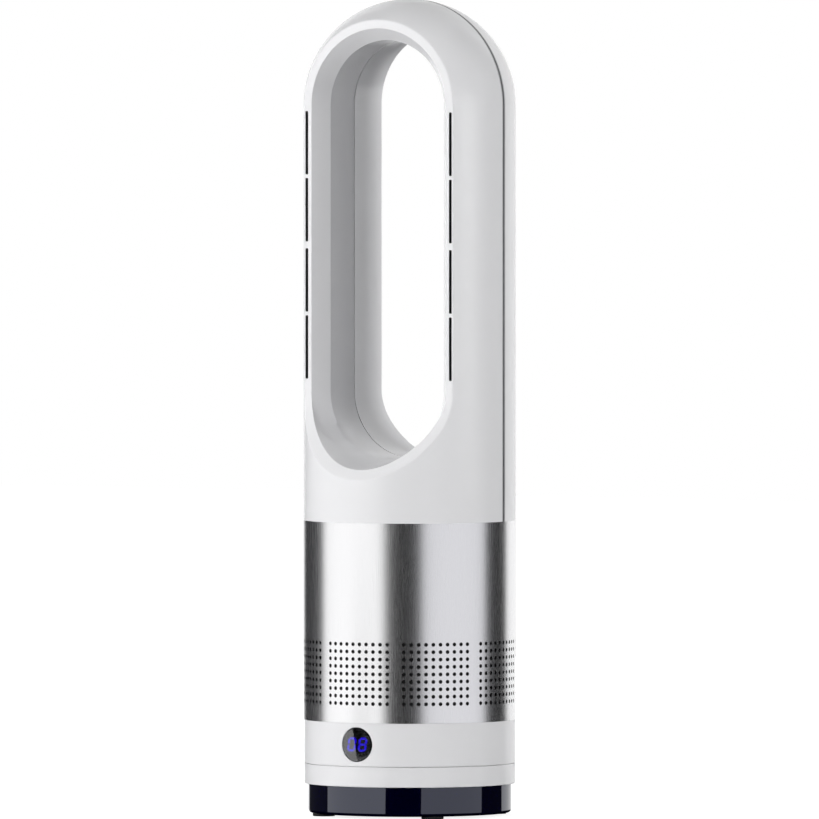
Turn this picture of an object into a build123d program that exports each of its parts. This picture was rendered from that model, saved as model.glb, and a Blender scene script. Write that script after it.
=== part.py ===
"""A free-standing bladeless tower fan: a round column that ends in a tall open loop.

Air is drawn in through the perforated metal sleeve, driven up by an impeller inside the column and
blown forward out of the narrow slots in the loop's front rim. The column turns from side to side on
a round black base. Millimetres, +Z up, the front faces -Y, and the origin is where the column's axis
meets the table.
"""

from build123d import *
from math import acos, cos, hypot, pi, radians, sin, sqrt, tan
import os

# ---------------------------------------------------------------- driving dimensions
# Clearances
slip = 0.2              # between pieces that drop into each other
button_slip = 0.3       # round the pieces that the button moves
running = 0.05          # radial, between a shaft and its bearing
screw_slip = 0.05       # radial, between a screw and its hole
past = 1.0              # how far a cut reaches past the face it opens
root = 1.0              # how far a rib or vane reaches into what carries it
graze = 0.5             # how far a ledge or flange reaches into its wall
tip_gap = 0.4           # from a screw's tip to the end of its hole
blind_floor = 0.4       # left under a blind screw hole

# Column and loop
column_r = 95.0         # outer radius of the metal sleeve and of the loop
ring_inset = 0.5        # how far the white rings stand inside the column's radius
shell_wall = 2.5        # moulded walls of the white casings

# Base, which stays still
foot_height = 2.5
foot_r = 10.0
foot_inset = 11.5       # from the base's edge to a foot's middle
foot_count = 4
foot_chamfer = 0.625
foot_plug_r = 6.0
foot_plug_height = 1.8
base_inset = 4.1        # from the column's radius in to the base's
base_wall = 2.8
base_edge_round = 3.0
base_plate_thickness = 3.0
deck_thickness = 3.0
lip_clearance = 1.0     # from the base's rim up to the turntable
ballast_outer_r = 58.0
ballast_inner_r = 26.0
ballast_thickness = 5.0
base_screw_circle_r = 68.0
base_screw_count = 3
base_screw_start = 30.0     # degrees
base_screw_length = 9.0
ballast_screw_circle_r = 42.0
ballast_screw_count = 3
ballast_screw_start = 90.0  # degrees
base_boss_r = 4.5

# Cord gland in the back of the base; the cord itself is left out
gland_bore_r = 3.6
gland_wall = 1.5
gland_flange_r = 7.0
gland_proud = 2.6       # how far it stands out of the base
gland_inner_flange = 3.0

# Swing drive
gear_module = 1.25
fixed_gear_teeth = 48
pinion_teeth = 16
gear_thickness = 6.0
pinion_thickness = 5.0
pinion_floor_gap = 1.2  # from the deck up to the pinion
gear_backlash = 0.35
pressure_angle = 20.0   # degrees
tooth_addendum = 0.9    # modules
tooth_dedendum = 1.25   # modules
flank_steps = 5
gear_chamber = 8.0      # from the deck up to the turntable
post_r = 14.0
post_bore_r = 9.5
post_flange_r = 24.0
post_flange_thickness = 3.0
gear_screw_circle_r = 19.5
gear_screw_count = 3
gear_screw_start = 60.0     # degrees
washer_screw_count = 3
washer_screw_start = 30.0   # degrees
washer_screw_length = 6.0
bush_wall = 3.0
hub_wall = 4.0
hub_height = 14.0
washer_thickness = 2.0
washer_overhang = 6.0   # past the post, over the bush and the hub
glide_outer_r = 74.0
glide_inner_r = 68.0
swing_can_r = 14.0
swing_can_height = 19.0
swing_shaft_r = 2.5
swing_shaft_offset = 8.0
swing_boss_r = 4.5
swing_boss_setback = 0.5
swing_ear_spacing = 35.0
swing_ear_thickness = 0.8
swing_ear_margin = 1.0
swing_shaft_entry = 2.0  # into the motor
lead_box_width = 14.0
lead_box_proud = 3.0
lead_box_margin = 2.0

# Turning column, from the bottom up
skirt_bottom = 28.8     # above the table
skirt_edge_round = 0.7
skirt_overlap = 4.0     # how far the skirt hangs below the turntable
skirt_height = 18.7
seam_gap = 0.7          # the thin dark line between skirt and control ring
turntable_thickness = 3.0
turntable_rib_height = 5.0
turntable_rib_wall = 2.0
turntable_rib_angles = (-60, -105, -150)
rib_ring_gap = 3.0      # from the skirt's ledge in to the round rib
ledge_width = 10.0
ledge_thickness = 2.5
tongue_wall = 1.8
tongue_rise = 5.0
tongue_root_height = 3.0
ring_screw_count = 4
ring_screw_start = 45.0  # degrees
screw_overhang = 2.0    # of a screw that passes through a flange
control_ring_height = 38.6
band_height = 178.4     # the metal sleeve
neck_height = 115.2     # from the sleeve to the centre of the opening's lower bow
opening_straight = 256.4  # between the centres of the opening's two bows

# Display button
lens_r = 15.3
lens_thickness = 2.0
lens_skirt_wall = 1.8
lens_depth = 7.5
lens_edge_round = 0.7
lens_height_share = 0.5  # of the control ring's height
button_travel = 0.8
guide_wall = 1.6
guide_depth = 7.2
digit_height = 12.6
digit_width = 8.4
digit_pitch = 10.8
digit_shift = -0.8      # of both digits, from the lens's middle
digit_stroke = 1.9
digit_slant = 8.0       # degrees
segment_gap = 0.25
segment_proud = 0.3
module_width = 20.8
module_height = 13.8
module_depth = 7.5
display_board_width = 52.0
display_board_height = 23.0
board_thickness = 1.6
board_corner_r = 2.0
board_room = 1.0        # round the display board
display_boss_x = 21.5
display_boss_r = 2.6
display_screw_length = 5.0
tact_size = 6.0
tact_body_depth = 2.3
plunger_r = 1.7
plunger_length = 2.4
receiver_size = 3.6
receiver_depth = 3.0
receiver_dome_r = 1.44
receiver_gap = 0.4

# Control board, behind the hub
control_board_width = 84.0
control_board_depth = 40.0
control_board_ahead = 6.5  # of the middle between the hub and the ring's wall
standoff_r = 3.2
standoff_height = 8.0
standoff_floor = 1.0
board_screw_inset = 5.0
capacitor_sizes = ((-24, 0, 6, 20), (-10, -4, 5, 16), (1, 4, 4, 12))  # x, y, radius, height
socket_sizes = ((-24, 12), (-6, 10), (10, 14), (27, 8))               # x, width
socket_inset = 5.0      # from the board's front edge to a socket's middle
socket_depth = 7.0
socket_height = 7.0
socket_wall = 1.1
socket_floor = 1.5
heatsink_x = 22.0
heatsink_back = 8.0     # behind the board's middle
heatsink_width = 20.0
heatsink_depth = 12.0
heatsink_floor = 3.0
heatsink_height = 14.0
fin_count = 5
fin_thickness = 1.2

# Metal sleeve and the cage behind it
sleeve_thickness = 0.8
hole_r = 1.75
hole_pitch_angle = 4.0  # degrees round the sleeve
hole_rows = 9
hole_columns = 10
hole_fields = 8
hole_field_centre = 43.8  # above the sleeve's bottom edge
cage_wall = 2.5
cage_flange_width = 12.0
cage_flange_thickness = 3.0
window_margin_angle = 2.0  # degrees, each side of a field of holes
window_margin = 5.0        # above and below a field of holes
plate_ledge_height = 86.0  # the fan plate's ledge, above the sleeve's bottom edge
plate_ledge_width = 5.0
plate_ledge_thickness = 3.0
plate_boss_r = 4.0
plate_boss_length = 10.0
plate_boss_floor = 1.5
plate_boss_overlap = 0.7   # of a boss and its ledge
plate_screw_count = 4
neck_screw_count = 6
neck_screw_start = 30.0    # degrees

# Fan unit
gasket_thickness = 1.0
gasket_width = 3.6
fan_plate_thickness = 3.0
shroud_wall = 2.2
fan_room = 27.5            # from the cage in to the diffuser's wall
shroud_mouth_inset = 2.0   # from the diffuser's wall in to the bell mouth
shroud_throat_inset = 14.0
shroud_depth = 68.0        # below the fan plate
shroud_throat_rise = 12.0  # from the bell mouth up to the throat
shroud_flare = 3.0
shroud_flare_rise = 5.0
shroud_swell = 1.0
shroud_swell_rise = 10.0
shroud_collar = 8.0        # straight, below the fan plate
tip_clearance = 1.2
impeller_height = 48.0
impeller_hub_top_r = 36.0
impeller_nose_rise = 4.0   # from the impeller's lowest edge to the hub's flat nose
impeller_nose_flat_r = 9.0
impeller_nose_r = 15.0
impeller_nose_height = 10.0
impeller_waist_r = 25.2
impeller_waist_height = 30.0
impeller_hub_wall = 2.6
impeller_boss_r = 9.0
impeller_boss_drop = 4.0   # from the hub's back rim down to its boss
impeller_web_drop = 4.0    # from the waist down to the boss's root
impeller_drop = 10.0       # from the fan plate down to the impeller's back
blade_count = 9
blade_thickness = 1.8
blade_twist = 62.0         # degrees
blade_rise = 8.0           # from the impeller's lowest edge to the blades
blade_sink = 1.5           # into the hub
diffuser_height = 52.0
diffuser_wall = 2.2
diffuser_flange_width = 8.0
diffuser_flange_thickness = 2.5
diffuser_screw_count = 4
diffuser_screw_start = 45.0  # degrees
vane_count = 11
vane_thickness = 1.8
vane_twist = 24.0          # degrees
vane_end_gap = 2.0
pod_r = 33.0
pod_wall = 2.4
pod_bore_gap = 2.0         # round the lower bearing
pod_cap_round_share = 0.8  # of the cap's height
damper_wall = 4.4
damper_drop = 4.0          # from the motor's top
motor_can_height = 40.0
motor_can_wall = 1.4
motor_can_end = 2.0
bearing_r = 8.0
bearing_width = 5.0
bearing_seat_wall = 1.6
bearing_ring_width = 1.5
shield_recess = 0.4
shaft_r = 2.5
shaft_below = 2.0          # the impeller
shaft_above = 3.0          # the motor
stator_tooth_count = 6
stator_yoke = 3.0
stator_tooth_width = 5.0
stator_shoe = 1.5
stator_shoe_width = 10.0
winding_thickness = 1.2
winding_overhang = 2.0
air_gap = 0.8
rotor_r = 13.0
rotor_length = 22.0
nut_r = 5.0
nut_height = 4.0
pod_cap_height = 26.0
duct_wall = 2.0
duct_collar = 4.0          # straight, at the duct's top
duct_top_inset = 3.0       # inside the cage's top opening
seal_width = 2.6
seal_thickness = 0.8

# Loop
rim_setback = 39.3      # from the column's foremost line back to the flat front rim
rim_width = 7.66        # across the flat front rim
bevel_width = 10.7      # from the rim's inner edge in to the throat
bevel_depth = 15.6
seam_plane = 3.9        # where the two loop shells meet, behind the axis
front_spread = 1.2      # how far the opening's wall spreads from the throat to the seam
back_spread = 6.6       # and from the seam to the back edge
scoop_drop = 9.4        # from the throat's lowest point to the opening's floor in front
scoop_overrun = 6.0     # of the scoop's curve past the column
scoop_steps = 8
loop_seam_gap = 1.4
loop_seam_lip = 4.0
seam_lip_inset = 1.4    # from the skin to the lip's outer face
rim_round = 2.4
rear_round = 2.6
slot_width = 2.9
slot_length = 56.8
slot_end_round = 0.8
slot_round_share = 0.8  # of half a slot's width, at most
slot_small_gap = 3.2
slot_large_gap = 6.0
slot_offset = 4.9       # from the rim's inner edge to the slot's middle
slot_bank_lift = 3.3    # the slots' middle, above the middle of the opening
nozzle_width = 4.4
nozzle_depth = 9.0
nozzle_end = 4.0
nozzle_lip_wall = 0.5   # of the rim that lines each slot
nozzle_lip_setback = 0.4
splitter_width = 74.0
splitter_drop = 34.0    # below the lowest point of the opening's floor
splitter_rise = 12.0    # above the throat's lowest point
splitter_edge = 6.0
splitter_waist = 0.32   # of the half width, halfway down
splitter_tip_lean = 0.15
splitter_gap = 0.3
neck_plate_thickness = 3.4
loop_margin = 30.0      # past the loop on every side, for what cuts it
edge_margin = 5.0       # round an edge that is looked for

# Fasteners
screw_r = 1.5
screw_head_r = 2.9
screw_head_height = 2.0
small_screw_r = 1.1
small_screw_head_r = 2.1
small_screw_head_height = 1.5

# ---------------------------------------------------------------- levels and radii worked out from them
ring_r = column_r - ring_inset
ring_inner_r = ring_r - shell_wall
base_r = column_r - base_inset
foot_circle_r = base_r - foot_inset
hub_r = post_r + bush_wall + hub_wall
control_board_offset = (hub_r + ring_inner_r) / 2 - control_board_ahead

base_plate_top = foot_height + base_plate_thickness
turntable_bottom = skirt_bottom + skirt_overlap
turntable_top = turntable_bottom + turntable_thickness
deck_top = turntable_bottom - gear_chamber
deck_bottom = deck_top - deck_thickness
post_flange_bottom = deck_bottom - post_flange_thickness
lip_top = turntable_bottom - lip_clearance
hub_top = turntable_bottom + hub_height
post_top = hub_top + slip
washer_top = post_top + washer_thickness
gland_z = (base_plate_top + deck_bottom) / 2

skirt_top = skirt_bottom + skirt_height - seam_gap
control_bottom = skirt_bottom + skirt_height
control_top = control_bottom + control_ring_height
tongue_top = control_bottom + tongue_rise
lens_z = control_bottom + control_ring_height * lens_height_share

band_bottom = control_top
band_top = band_bottom + band_height
sleeve_inner_r = column_r - sleeve_thickness
cage_r = sleeve_inner_r - slip
cage_inner_r = cage_r - cage_wall
shroud_exit_r = cage_inner_r - fan_room
shroud_mouth_r = shroud_exit_r - shroud_mouth_inset
shroud_throat_r = shroud_exit_r - shroud_throat_inset
hole_middle_z = band_bottom + hole_field_centre
hole_pitch = radians(hole_pitch_angle) * column_r
field_height = (hole_rows - 1) * hole_pitch
field_angle = (hole_columns - 1) * hole_pitch_angle

ledge_top = band_bottom + plate_ledge_height
fan_plate_bottom = ledge_top + gasket_thickness
fan_plate_top = fan_plate_bottom + fan_plate_thickness
impeller_top = fan_plate_bottom - impeller_drop
impeller_bottom = impeller_top - impeller_height
diffuser_top = fan_plate_top + diffuser_height
pod_inner_r = pod_r - pod_wall
damper_r = pod_inner_r - slip
motor_can_r = damper_r - damper_wall
can_inner_r = motor_can_r - motor_can_wall
pod_floor_top = fan_plate_bottom + pod_wall
motor_bottom = pod_floor_top + slip
motor_top = motor_bottom + motor_can_height
duct_top = band_top - cage_flange_thickness

opening_low = band_top + neck_height
opening_high = opening_low + opening_straight
loop_top = opening_high + column_r
loop_reach = column_r + loop_margin
rim_plane = column_r - rim_setback
rim_inner_r = sqrt(column_r ** 2 - rim_plane ** 2) - rim_width
throat_r = rim_inner_r - bevel_width
throat_plane = rim_plane - bevel_depth
seam_inner_r = throat_r + front_spread
rear_inner_r = seam_inner_r + back_spread
rear_edge_plane = sqrt(column_r ** 2 - rear_inner_r ** 2)
scoop_floor_r = throat_r + scoop_drop
pinion_distance = gear_module * (fixed_gear_teeth + pinion_teeth) / 2
pinion_bottom = deck_top + pinion_floor_gap
swing_can_x = pinion_distance + swing_shaft_offset

back_of_lens = -(ring_r - lens_thickness)
lens_skirt_end = -(ring_r - lens_depth)
board_front = lens_skirt_end + plunger_length + button_travel + slip
board_back = board_front + board_thickness

half_turn = 180.0


# ---------------------------------------------------------------- small helpers
def disc(radius, low, high, x=0.0, y=0.0):
    """A round bar along Z between two heights."""
    return Pos(x, y, (low + high) / 2) * Cylinder(radius, high - low)


def tube(outer, inner, low, high, x=0.0, y=0.0):
    """A tube along Z between two heights."""
    return disc(outer, low, high, x, y) - disc(inner, low - past, high + past, x, y)


def rod_y(radius, front, back, x, z):
    """A round bar along Y between two depths."""
    return Pos(x, (front + back) / 2, z) * Rot(90, 0, 0) * Cylinder(radius, back - front)


def block(x_range, y_range, z_range):
    """A box from its three ranges."""
    (x0, x1), (y0, y1), (z0, z1) = x_range, y_range, z_range
    return Pos((x0 + x1) / 2, (y0 + y1) / 2, (z0 + z1) / 2) * Box(x1 - x0, y1 - y0, z1 - z0)


def turned(points):
    """A solid of revolution about Z from (radius, height) corners."""
    outline = Polyline(*[(r, 0, z) for r, z in points], close=True)
    return revolve(make_face(outline), Axis.Z)


def on_circle(radius, count, start=0.0):
    """Centres evenly spaced on a circle, from a start angle in degrees."""
    angles = [radians(start + 360 / count * k) for k in range(count)]
    return [(radius * cos(a), radius * sin(a)) for a in angles]


def fused(pieces):
    """One shape from several that touch."""
    first, *rest = pieces
    return first.fuse(*rest) if rest else first


def screw_down(x, y, head_floor, tip):
    """A pan-head screw that points down, its head resting on head_floor."""
    head = disc(screw_head_r, head_floor, head_floor + screw_head_height, x, y)
    return head + disc(screw_r, tip, head_floor, x, y)


def screw_up(x, y, head_ceiling, tip):
    """A pan-head screw that points up, its head under head_ceiling."""
    head = disc(screw_head_r, head_ceiling - screw_head_height, head_ceiling, x, y)
    return head + disc(screw_r, head_ceiling, tip, x, y)


def small_screw_down(x, y, head_floor, tip):
    """A small pan-head screw that points down."""
    head = disc(small_screw_head_r, head_floor, head_floor + small_screw_head_height, x, y)
    return head + disc(small_screw_r, tip, head_floor, x, y)


def offset_chain(points, distance):
    """An open polyline moved sideways by distance, to its right, with mitred corners."""
    normals = []
    for (x0, y0), (x1, y1) in zip(points, points[1:]):
        length = hypot(x1 - x0, y1 - y0)
        normals.append(((y1 - y0) / length, -(x1 - x0) / length))
    moved = []
    for i, (x, y) in enumerate(points):
        nx0, ny0 = normals[max(i - 1, 0)]
        nx1, ny1 = normals[min(i, len(normals) - 1)]
        share = distance / (1 + nx0 * nx1 + ny0 * ny1)
        moved.append((x + (nx0 + nx1) * share, y + (ny0 + ny1) * share))
    return moved


# ---------------------------------------------------------------- base
foot_centres = on_circle(foot_circle_r, foot_count, half_turn / foot_count)
base_screw_centres = on_circle(base_screw_circle_r, base_screw_count, base_screw_start)
ballast_screw_centres = on_circle(ballast_screw_circle_r, ballast_screw_count, ballast_screw_start)
gear_screw_centres = on_circle(gear_screw_circle_r, gear_screw_count, gear_screw_start)
washer_screw_centres = on_circle((post_r + post_bore_r) / 2, washer_screw_count, washer_screw_start)


def rubber_feet():
    """Four round pads, each with a plug that sits in a pocket of the base plate."""
    feet = []
    for x, y in foot_centres:
        pad = disc(foot_r, 0, foot_height, x, y)
        pad = chamfer(pad.edges().group_by(Axis.Z)[0], foot_chamfer)
        feet.append(pad + disc(foot_plug_r, foot_height, foot_height + foot_plug_height, x, y))
    return Compound(feet)


def base_plate():
    """The disc that closes the base from below."""
    plate = disc(base_r - base_wall - slip, foot_height, base_plate_top)
    below, above = foot_height - past, base_plate_top + past
    for x, y in foot_centres:
        plate -= disc(foot_plug_r + slip, below, foot_height + foot_plug_height + slip, x, y)
    for x, y in base_screw_centres:
        plate -= disc(screw_r + screw_slip, below, above, x, y)
        plate -= disc(screw_head_r + slip, below, foot_height + screw_head_height, x, y)
    for x, y in ballast_screw_centres:
        plate -= disc(screw_r + screw_slip, below, above, x, y)
    return plate


def base_shell():
    """The glossy black drum: a wall with a rounded lower edge and a deck across it."""
    bottom = foot_height
    inner = base_r - base_wall
    outer = disc(base_r, bottom, lip_top)
    outer = fillet(outer.edges().group_by(Axis.Z)[0], base_edge_round)
    shell = outer - disc(inner, bottom - past, deck_bottom)
    shell -= disc(inner, deck_top, lip_top + past)
    bosses = [disc(base_boss_r, base_plate_top, deck_bottom, x, y) for x, y in base_screw_centres]
    shell = fused([shell] + bosses)
    for x, y in base_screw_centres:
        shell -= disc(screw_r + screw_slip, base_plate_top - past, foot_height + base_screw_length, x, y)
    shell -= disc(post_r + slip, deck_bottom - past, deck_top + past)
    for x, y in gear_screw_centres:
        shell -= disc(screw_r + screw_slip, deck_bottom - past, deck_top + past, x, y)
    bush_hole_r = gland_bore_r + gland_wall + slip
    return shell - rod_y(bush_hole_r, inner - gland_inner_flange - past, base_r + past, 0, gland_z)


def ballast_ring():
    """The steel ring that keeps the tall column upright."""
    top = base_plate_top + ballast_thickness
    ring = tube(ballast_outer_r, ballast_inner_r, base_plate_top, top)
    for x, y in ballast_screw_centres:
        ring -= disc(screw_r + screw_slip, base_plate_top - past, top + past, x, y)
    return ring


def base_screws():
    """Three screws hold the plate to the shell and three hold the ballast to the plate."""
    head_ceiling = foot_height + screw_head_height
    tip = foot_height + base_screw_length - tip_gap
    plate = [screw_up(x, y, head_ceiling, tip) for x, y in base_screw_centres]
    top = base_plate_top + ballast_thickness
    ballast = [screw_down(x, y, top, foot_height + tip_gap) for x, y in ballast_screw_centres]
    return Compound(plate + ballast)


def cord_gland():
    """The bush in the back wall that a supply cord passes through."""
    back = base_r + gland_proud
    inner_face = sqrt((base_r - base_wall) ** 2 - gland_flange_r ** 2) - slip
    body_r = gland_bore_r + gland_wall
    inner_end = inner_face - gland_inner_flange
    gland = rod_y(body_r, inner_end, back, 0, gland_z)
    gland += rod_y(gland_flange_r, base_r, back, 0, gland_z)
    gland += rod_y(gland_flange_r, inner_end, inner_face, 0, gland_z)
    return gland - rod_y(gland_bore_r, inner_end - past, back + past, 0, gland_z)


def pivot_post():
    """The hollow post that the column turns on; the wires rise through it."""
    flange = disc(post_flange_r, post_flange_bottom, deck_bottom)
    post = disc(post_r, post_flange_bottom, post_top) + flange
    post -= disc(post_bore_r, post_flange_bottom - past, post_top + past)
    for x, y in gear_screw_centres:
        post -= disc(screw_r + screw_slip, post_flange_bottom - past, deck_bottom + past, x, y)
    for x, y in washer_screw_centres:
        hole_end = post_top - washer_screw_length - tip_gap
        post -= disc(small_screw_r + screw_slip, hole_end, post_top + past, x, y)
    return post


def retaining_washer():
    """The washer on top of the post that keeps the column from lifting off."""
    washer = tube(post_r + washer_overhang, post_bore_r, post_top, washer_top)
    for x, y in washer_screw_centres:
        washer -= disc(small_screw_r + screw_slip, post_top - past, washer_top + past, x, y)
    return washer


def drive_screws():
    """Three screws through the fixed gear and the deck into the post's flange."""
    floor = deck_top + gear_thickness - screw_head_height
    return Compound([screw_down(x, y, floor, post_flange_bottom + tip_gap) for x, y in gear_screw_centres])


def washer_screws():
    """Three small screws through the washer into the post."""
    tip = post_top - washer_screw_length
    return Compound([small_screw_down(x, y, washer_top, tip) for x, y in washer_screw_centres])


def glide_ring():
    """The slippery ring that carries the column's weight on the deck."""
    return tube(glide_outer_r, glide_inner_r, deck_top, turntable_bottom)


# ---------------------------------------------------------------- swing drive
def gear_outline(teeth, backlash):
    """The outline of a spur gear with involute flanks, a tooth centred on +X."""
    pitch_r = gear_module * teeth / 2
    pressure = radians(pressure_angle)
    base_circle = pitch_r * cos(pressure)
    tip_r = pitch_r + tooth_addendum * gear_module
    root_r = pitch_r - tooth_dedendum * gear_module
    low_r = max(base_circle, root_r)
    half_tooth = pi / (2 * teeth) - backlash / (2 * pitch_r) + tan(pressure) - pressure
    flank = []
    for step in range(flank_steps + 1):
        r = low_r + (tip_r - low_r) * step / flank_steps
        roll = acos(min(1.0, base_circle / r))
        flank.append((r, half_tooth - (tan(roll) - roll)))
    if root_r < base_circle:
        flank.insert(0, (root_r, flank[0][1]))
    points = []
    for tooth in range(teeth):
        middle = 2 * pi * tooth / teeth
        rising = [(r, middle - a) for r, a in flank]
        falling = [(r, middle + a) for r, a in reversed(flank)]
        points += [(r * cos(a), r * sin(a)) for r, a in rising + falling]
    return make_face(Polyline(*points, close=True))


def fixed_gear():
    """The gear screwed to the deck; the column walks round it."""
    top = deck_top + gear_thickness
    gear = Pos(0, 0, deck_top) * extrude(gear_outline(fixed_gear_teeth, gear_backlash), gear_thickness)
    gear -= disc(post_r + slip, deck_top - past, top + past)
    for x, y in gear_screw_centres:
        gear -= disc(screw_r + screw_slip, deck_top - past, top + past, x, y)
        gear -= disc(screw_head_r + slip, top - screw_head_height, top + past, x, y)
    return gear


def swing_pinion():
    """The small gear on the swing motor's shaft, with a gap towards the fixed gear."""
    half_pitch = half_turn / pinion_teeth
    turn = 0.0 if pinion_teeth % 2 else half_pitch
    gear = Rot(0, 0, turn) * extrude(gear_outline(pinion_teeth, gear_backlash), pinion_thickness)
    gear = Pos(pinion_distance, 0, pinion_bottom) * gear
    return gear - disc(swing_shaft_r + screw_slip, deck_top, turntable_bottom, pinion_distance, 0)


def swing_shaft():
    """The swing motor's output shaft, from the pinion up into the motor."""
    return disc(swing_shaft_r, pinion_bottom, turntable_top + swing_shaft_entry, pinion_distance, 0)


def swing_motor():
    """The geared stepper motor that swings the column, with two fixing ears."""
    can = disc(swing_can_r, turntable_top, turntable_top + swing_can_height, swing_can_x, 0)
    half = swing_ear_spacing / 2
    ear_r = small_screw_head_r + swing_ear_margin
    ear_top = turntable_top + swing_ear_thickness
    strap = block((swing_can_x - ear_r, swing_can_x + ear_r), (-half, half), (turntable_top, ear_top))
    rounds = [disc(ear_r, turntable_top, ear_top, x, y) for x, y in swing_ear_centres]
    boss = disc(swing_boss_r, turntable_bottom + swing_boss_setback, turntable_top, pinion_distance, 0)
    lead_x = swing_can_x + swing_can_r
    lead_half = lead_box_width / 2
    lead_box = block((lead_x - lead_box_margin, lead_x + lead_box_proud), (-lead_half, lead_half),
                     (turntable_top + lead_box_margin, turntable_top + swing_can_height - lead_box_margin))
    motor = fused([can, strap, boss, lead_box] + rounds)
    for x, y in swing_ear_centres:
        motor -= disc(small_screw_r + screw_slip, turntable_top - past, ear_top + past, x, y)
    shaft_end = turntable_top + swing_shaft_entry + running
    return motor - disc(swing_shaft_r + running, turntable_bottom, shaft_end, pinion_distance, 0)


# ---------------------------------------------------------------- turning chassis
standoff_centres = [(sx * (control_board_width / 2 - board_screw_inset),
                     control_board_offset + sy * (control_board_depth / 2 - board_screw_inset))
                    for sx in (-1, 1) for sy in (-1, 1)]
skirt_screw_centres = on_circle(ring_inner_r - ledge_width / 2, ring_screw_count, ring_screw_start)
cage_screw_centres = on_circle(cage_inner_r - cage_flange_width / 2, ring_screw_count, ring_screw_start)
plate_screw_circle_r = cage_inner_r - plate_ledge_width - plate_boss_r + plate_boss_overlap
plate_screw_centres = on_circle(plate_screw_circle_r, plate_screw_count)
diffuser_screw_circle_r = shroud_exit_r + diffuser_flange_width / 2
diffuser_screw_centres = on_circle(diffuser_screw_circle_r, diffuser_screw_count, diffuser_screw_start)
neck_screw_centres = on_circle(cage_inner_r - cage_flange_width / 2, neck_screw_count, neck_screw_start)
swing_ear_centres = [(swing_can_x, side * swing_ear_spacing / 2) for side in (-1, 1)]
board_bottom = turntable_top + standoff_height
board_top = board_bottom + board_thickness


def turntable():
    """The round floor of the column, with its hub, ribs and standoffs."""
    table = disc(ring_inner_r - slip, turntable_bottom, turntable_top)
    pieces = [disc(hub_r, turntable_bottom, hub_top)]
    rib_outer = ring_inner_r - ledge_width - rib_ring_gap
    rib_inner = rib_outer - turntable_rib_wall
    rib_low, rib_top = turntable_top - root, turntable_top + turntable_rib_height
    pieces.append(tube(rib_outer, rib_inner, rib_low, rib_top))
    half_wall = turntable_rib_wall / 2
    rib = block((hub_r - root, rib_inner + root), (-half_wall, half_wall), (rib_low, rib_top))
    pieces += [Rot(0, 0, angle) * rib for angle in turntable_rib_angles]
    pieces += [disc(standoff_r, turntable_top - root, board_bottom, x, y) for x, y in standoff_centres]
    table = fused([table] + pieces)
    table -= disc(post_r + bush_wall + running, turntable_bottom - past, hub_top + past)
    table -= disc(swing_boss_r + slip, turntable_bottom - past, turntable_top + past, pinion_distance, 0)
    for x, y in standoff_centres:
        table -= disc(small_screw_r + screw_slip, turntable_top + standoff_floor, board_bottom + past, x, y)
    for x, y in swing_ear_centres:
        table -= disc(small_screw_r + screw_slip, turntable_bottom + blind_floor, turntable_top + past, x, y)
    for x, y in skirt_screw_centres:
        table -= disc(screw_r + screw_slip, turntable_bottom + blind_floor, turntable_top + past, x, y)
    return table


def pivot_bush():
    """The plain bush between the post and the turntable's hub."""
    return tube(post_r + bush_wall, post_r + running, turntable_bottom, hub_top)


def lower_skirt():
    """The lower white ring, which hides the gap to the base, with the tongue for the ring above."""
    outer = disc(ring_r, skirt_bottom, skirt_top)
    outer = fillet(outer.edges().group_by(Axis.Z)[0], skirt_edge_round)
    skirt = outer - disc(ring_inner_r, skirt_bottom - past, skirt_top + past)
    ledge_r, ledge_top_z = ring_inner_r - ledge_width, turntable_top + ledge_thickness
    ledge = tube(ring_inner_r + graze, ledge_r, turntable_top, ledge_top_z)
    tongue_r = ring_inner_r - slip
    tongue_low = skirt_top - tongue_root_height
    tongue_root = tube(ring_inner_r + graze, tongue_r - tongue_wall, tongue_low, skirt_top)
    tongue = tube(tongue_r, tongue_r - tongue_wall, tongue_low, tongue_top)
    skirt = fused([skirt, ledge, tongue_root, tongue])
    for x, y in skirt_screw_centres:
        skirt -= disc(screw_r + screw_slip, turntable_top - past, ledge_top_z + past, x, y)
    guide_r = lens_r + button_slip + guide_wall + slip
    return skirt - block((-guide_r, guide_r), (-ring_r, -ledge_r), (lens_z - guide_r, tongue_top + past))


def control_ring():
    """The upper white ring, with the guide for the display button and its two board bosses."""
    ring = tube(ring_r, ring_inner_r, control_bottom, control_top)
    ledge_r = ring_inner_r - ledge_width
    ledge = tube(ring_inner_r + graze, ledge_r, tongue_top, tongue_top + ledge_thickness)
    flange_z = control_top - ledge_thickness
    flange = tube(ring_inner_r + graze, cage_inner_r - cage_flange_width, flange_z, control_top)
    guide_r = lens_r + button_slip + guide_wall
    guide = rod_y(guide_r, -ring_inner_r, -(ring_r - guide_depth), 0, lens_z)
    boss_places = [side * display_boss_x for side in (-1, 1)]
    bosses = [rod_y(display_boss_r, -ring_inner_r, board_front, x, lens_z) for x in boss_places]
    added = fused([guide] + bosses) & disc(ring_r - graze, control_bottom, control_top)
    ring = fused([ring, ledge, flange, added])
    ring -= rod_y(lens_r + button_slip, -(ring_r + past), 0, 0, lens_z)
    half_w = display_board_width / 2 + board_room
    ring -= block((-half_w, half_w), (board_front, 0),
                  (lens_z - display_board_height / 2 - board_room, flange_z))
    for x in boss_places:
        hole_end = board_front - display_screw_length - tip_gap
        ring -= rod_y(small_screw_r + screw_slip, hole_end, board_front + past, x, lens_z)
    for x, y in cage_screw_centres:
        ring -= disc(screw_r + screw_slip, flange_z - past, control_top + past, x, y)
    return ring


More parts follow.
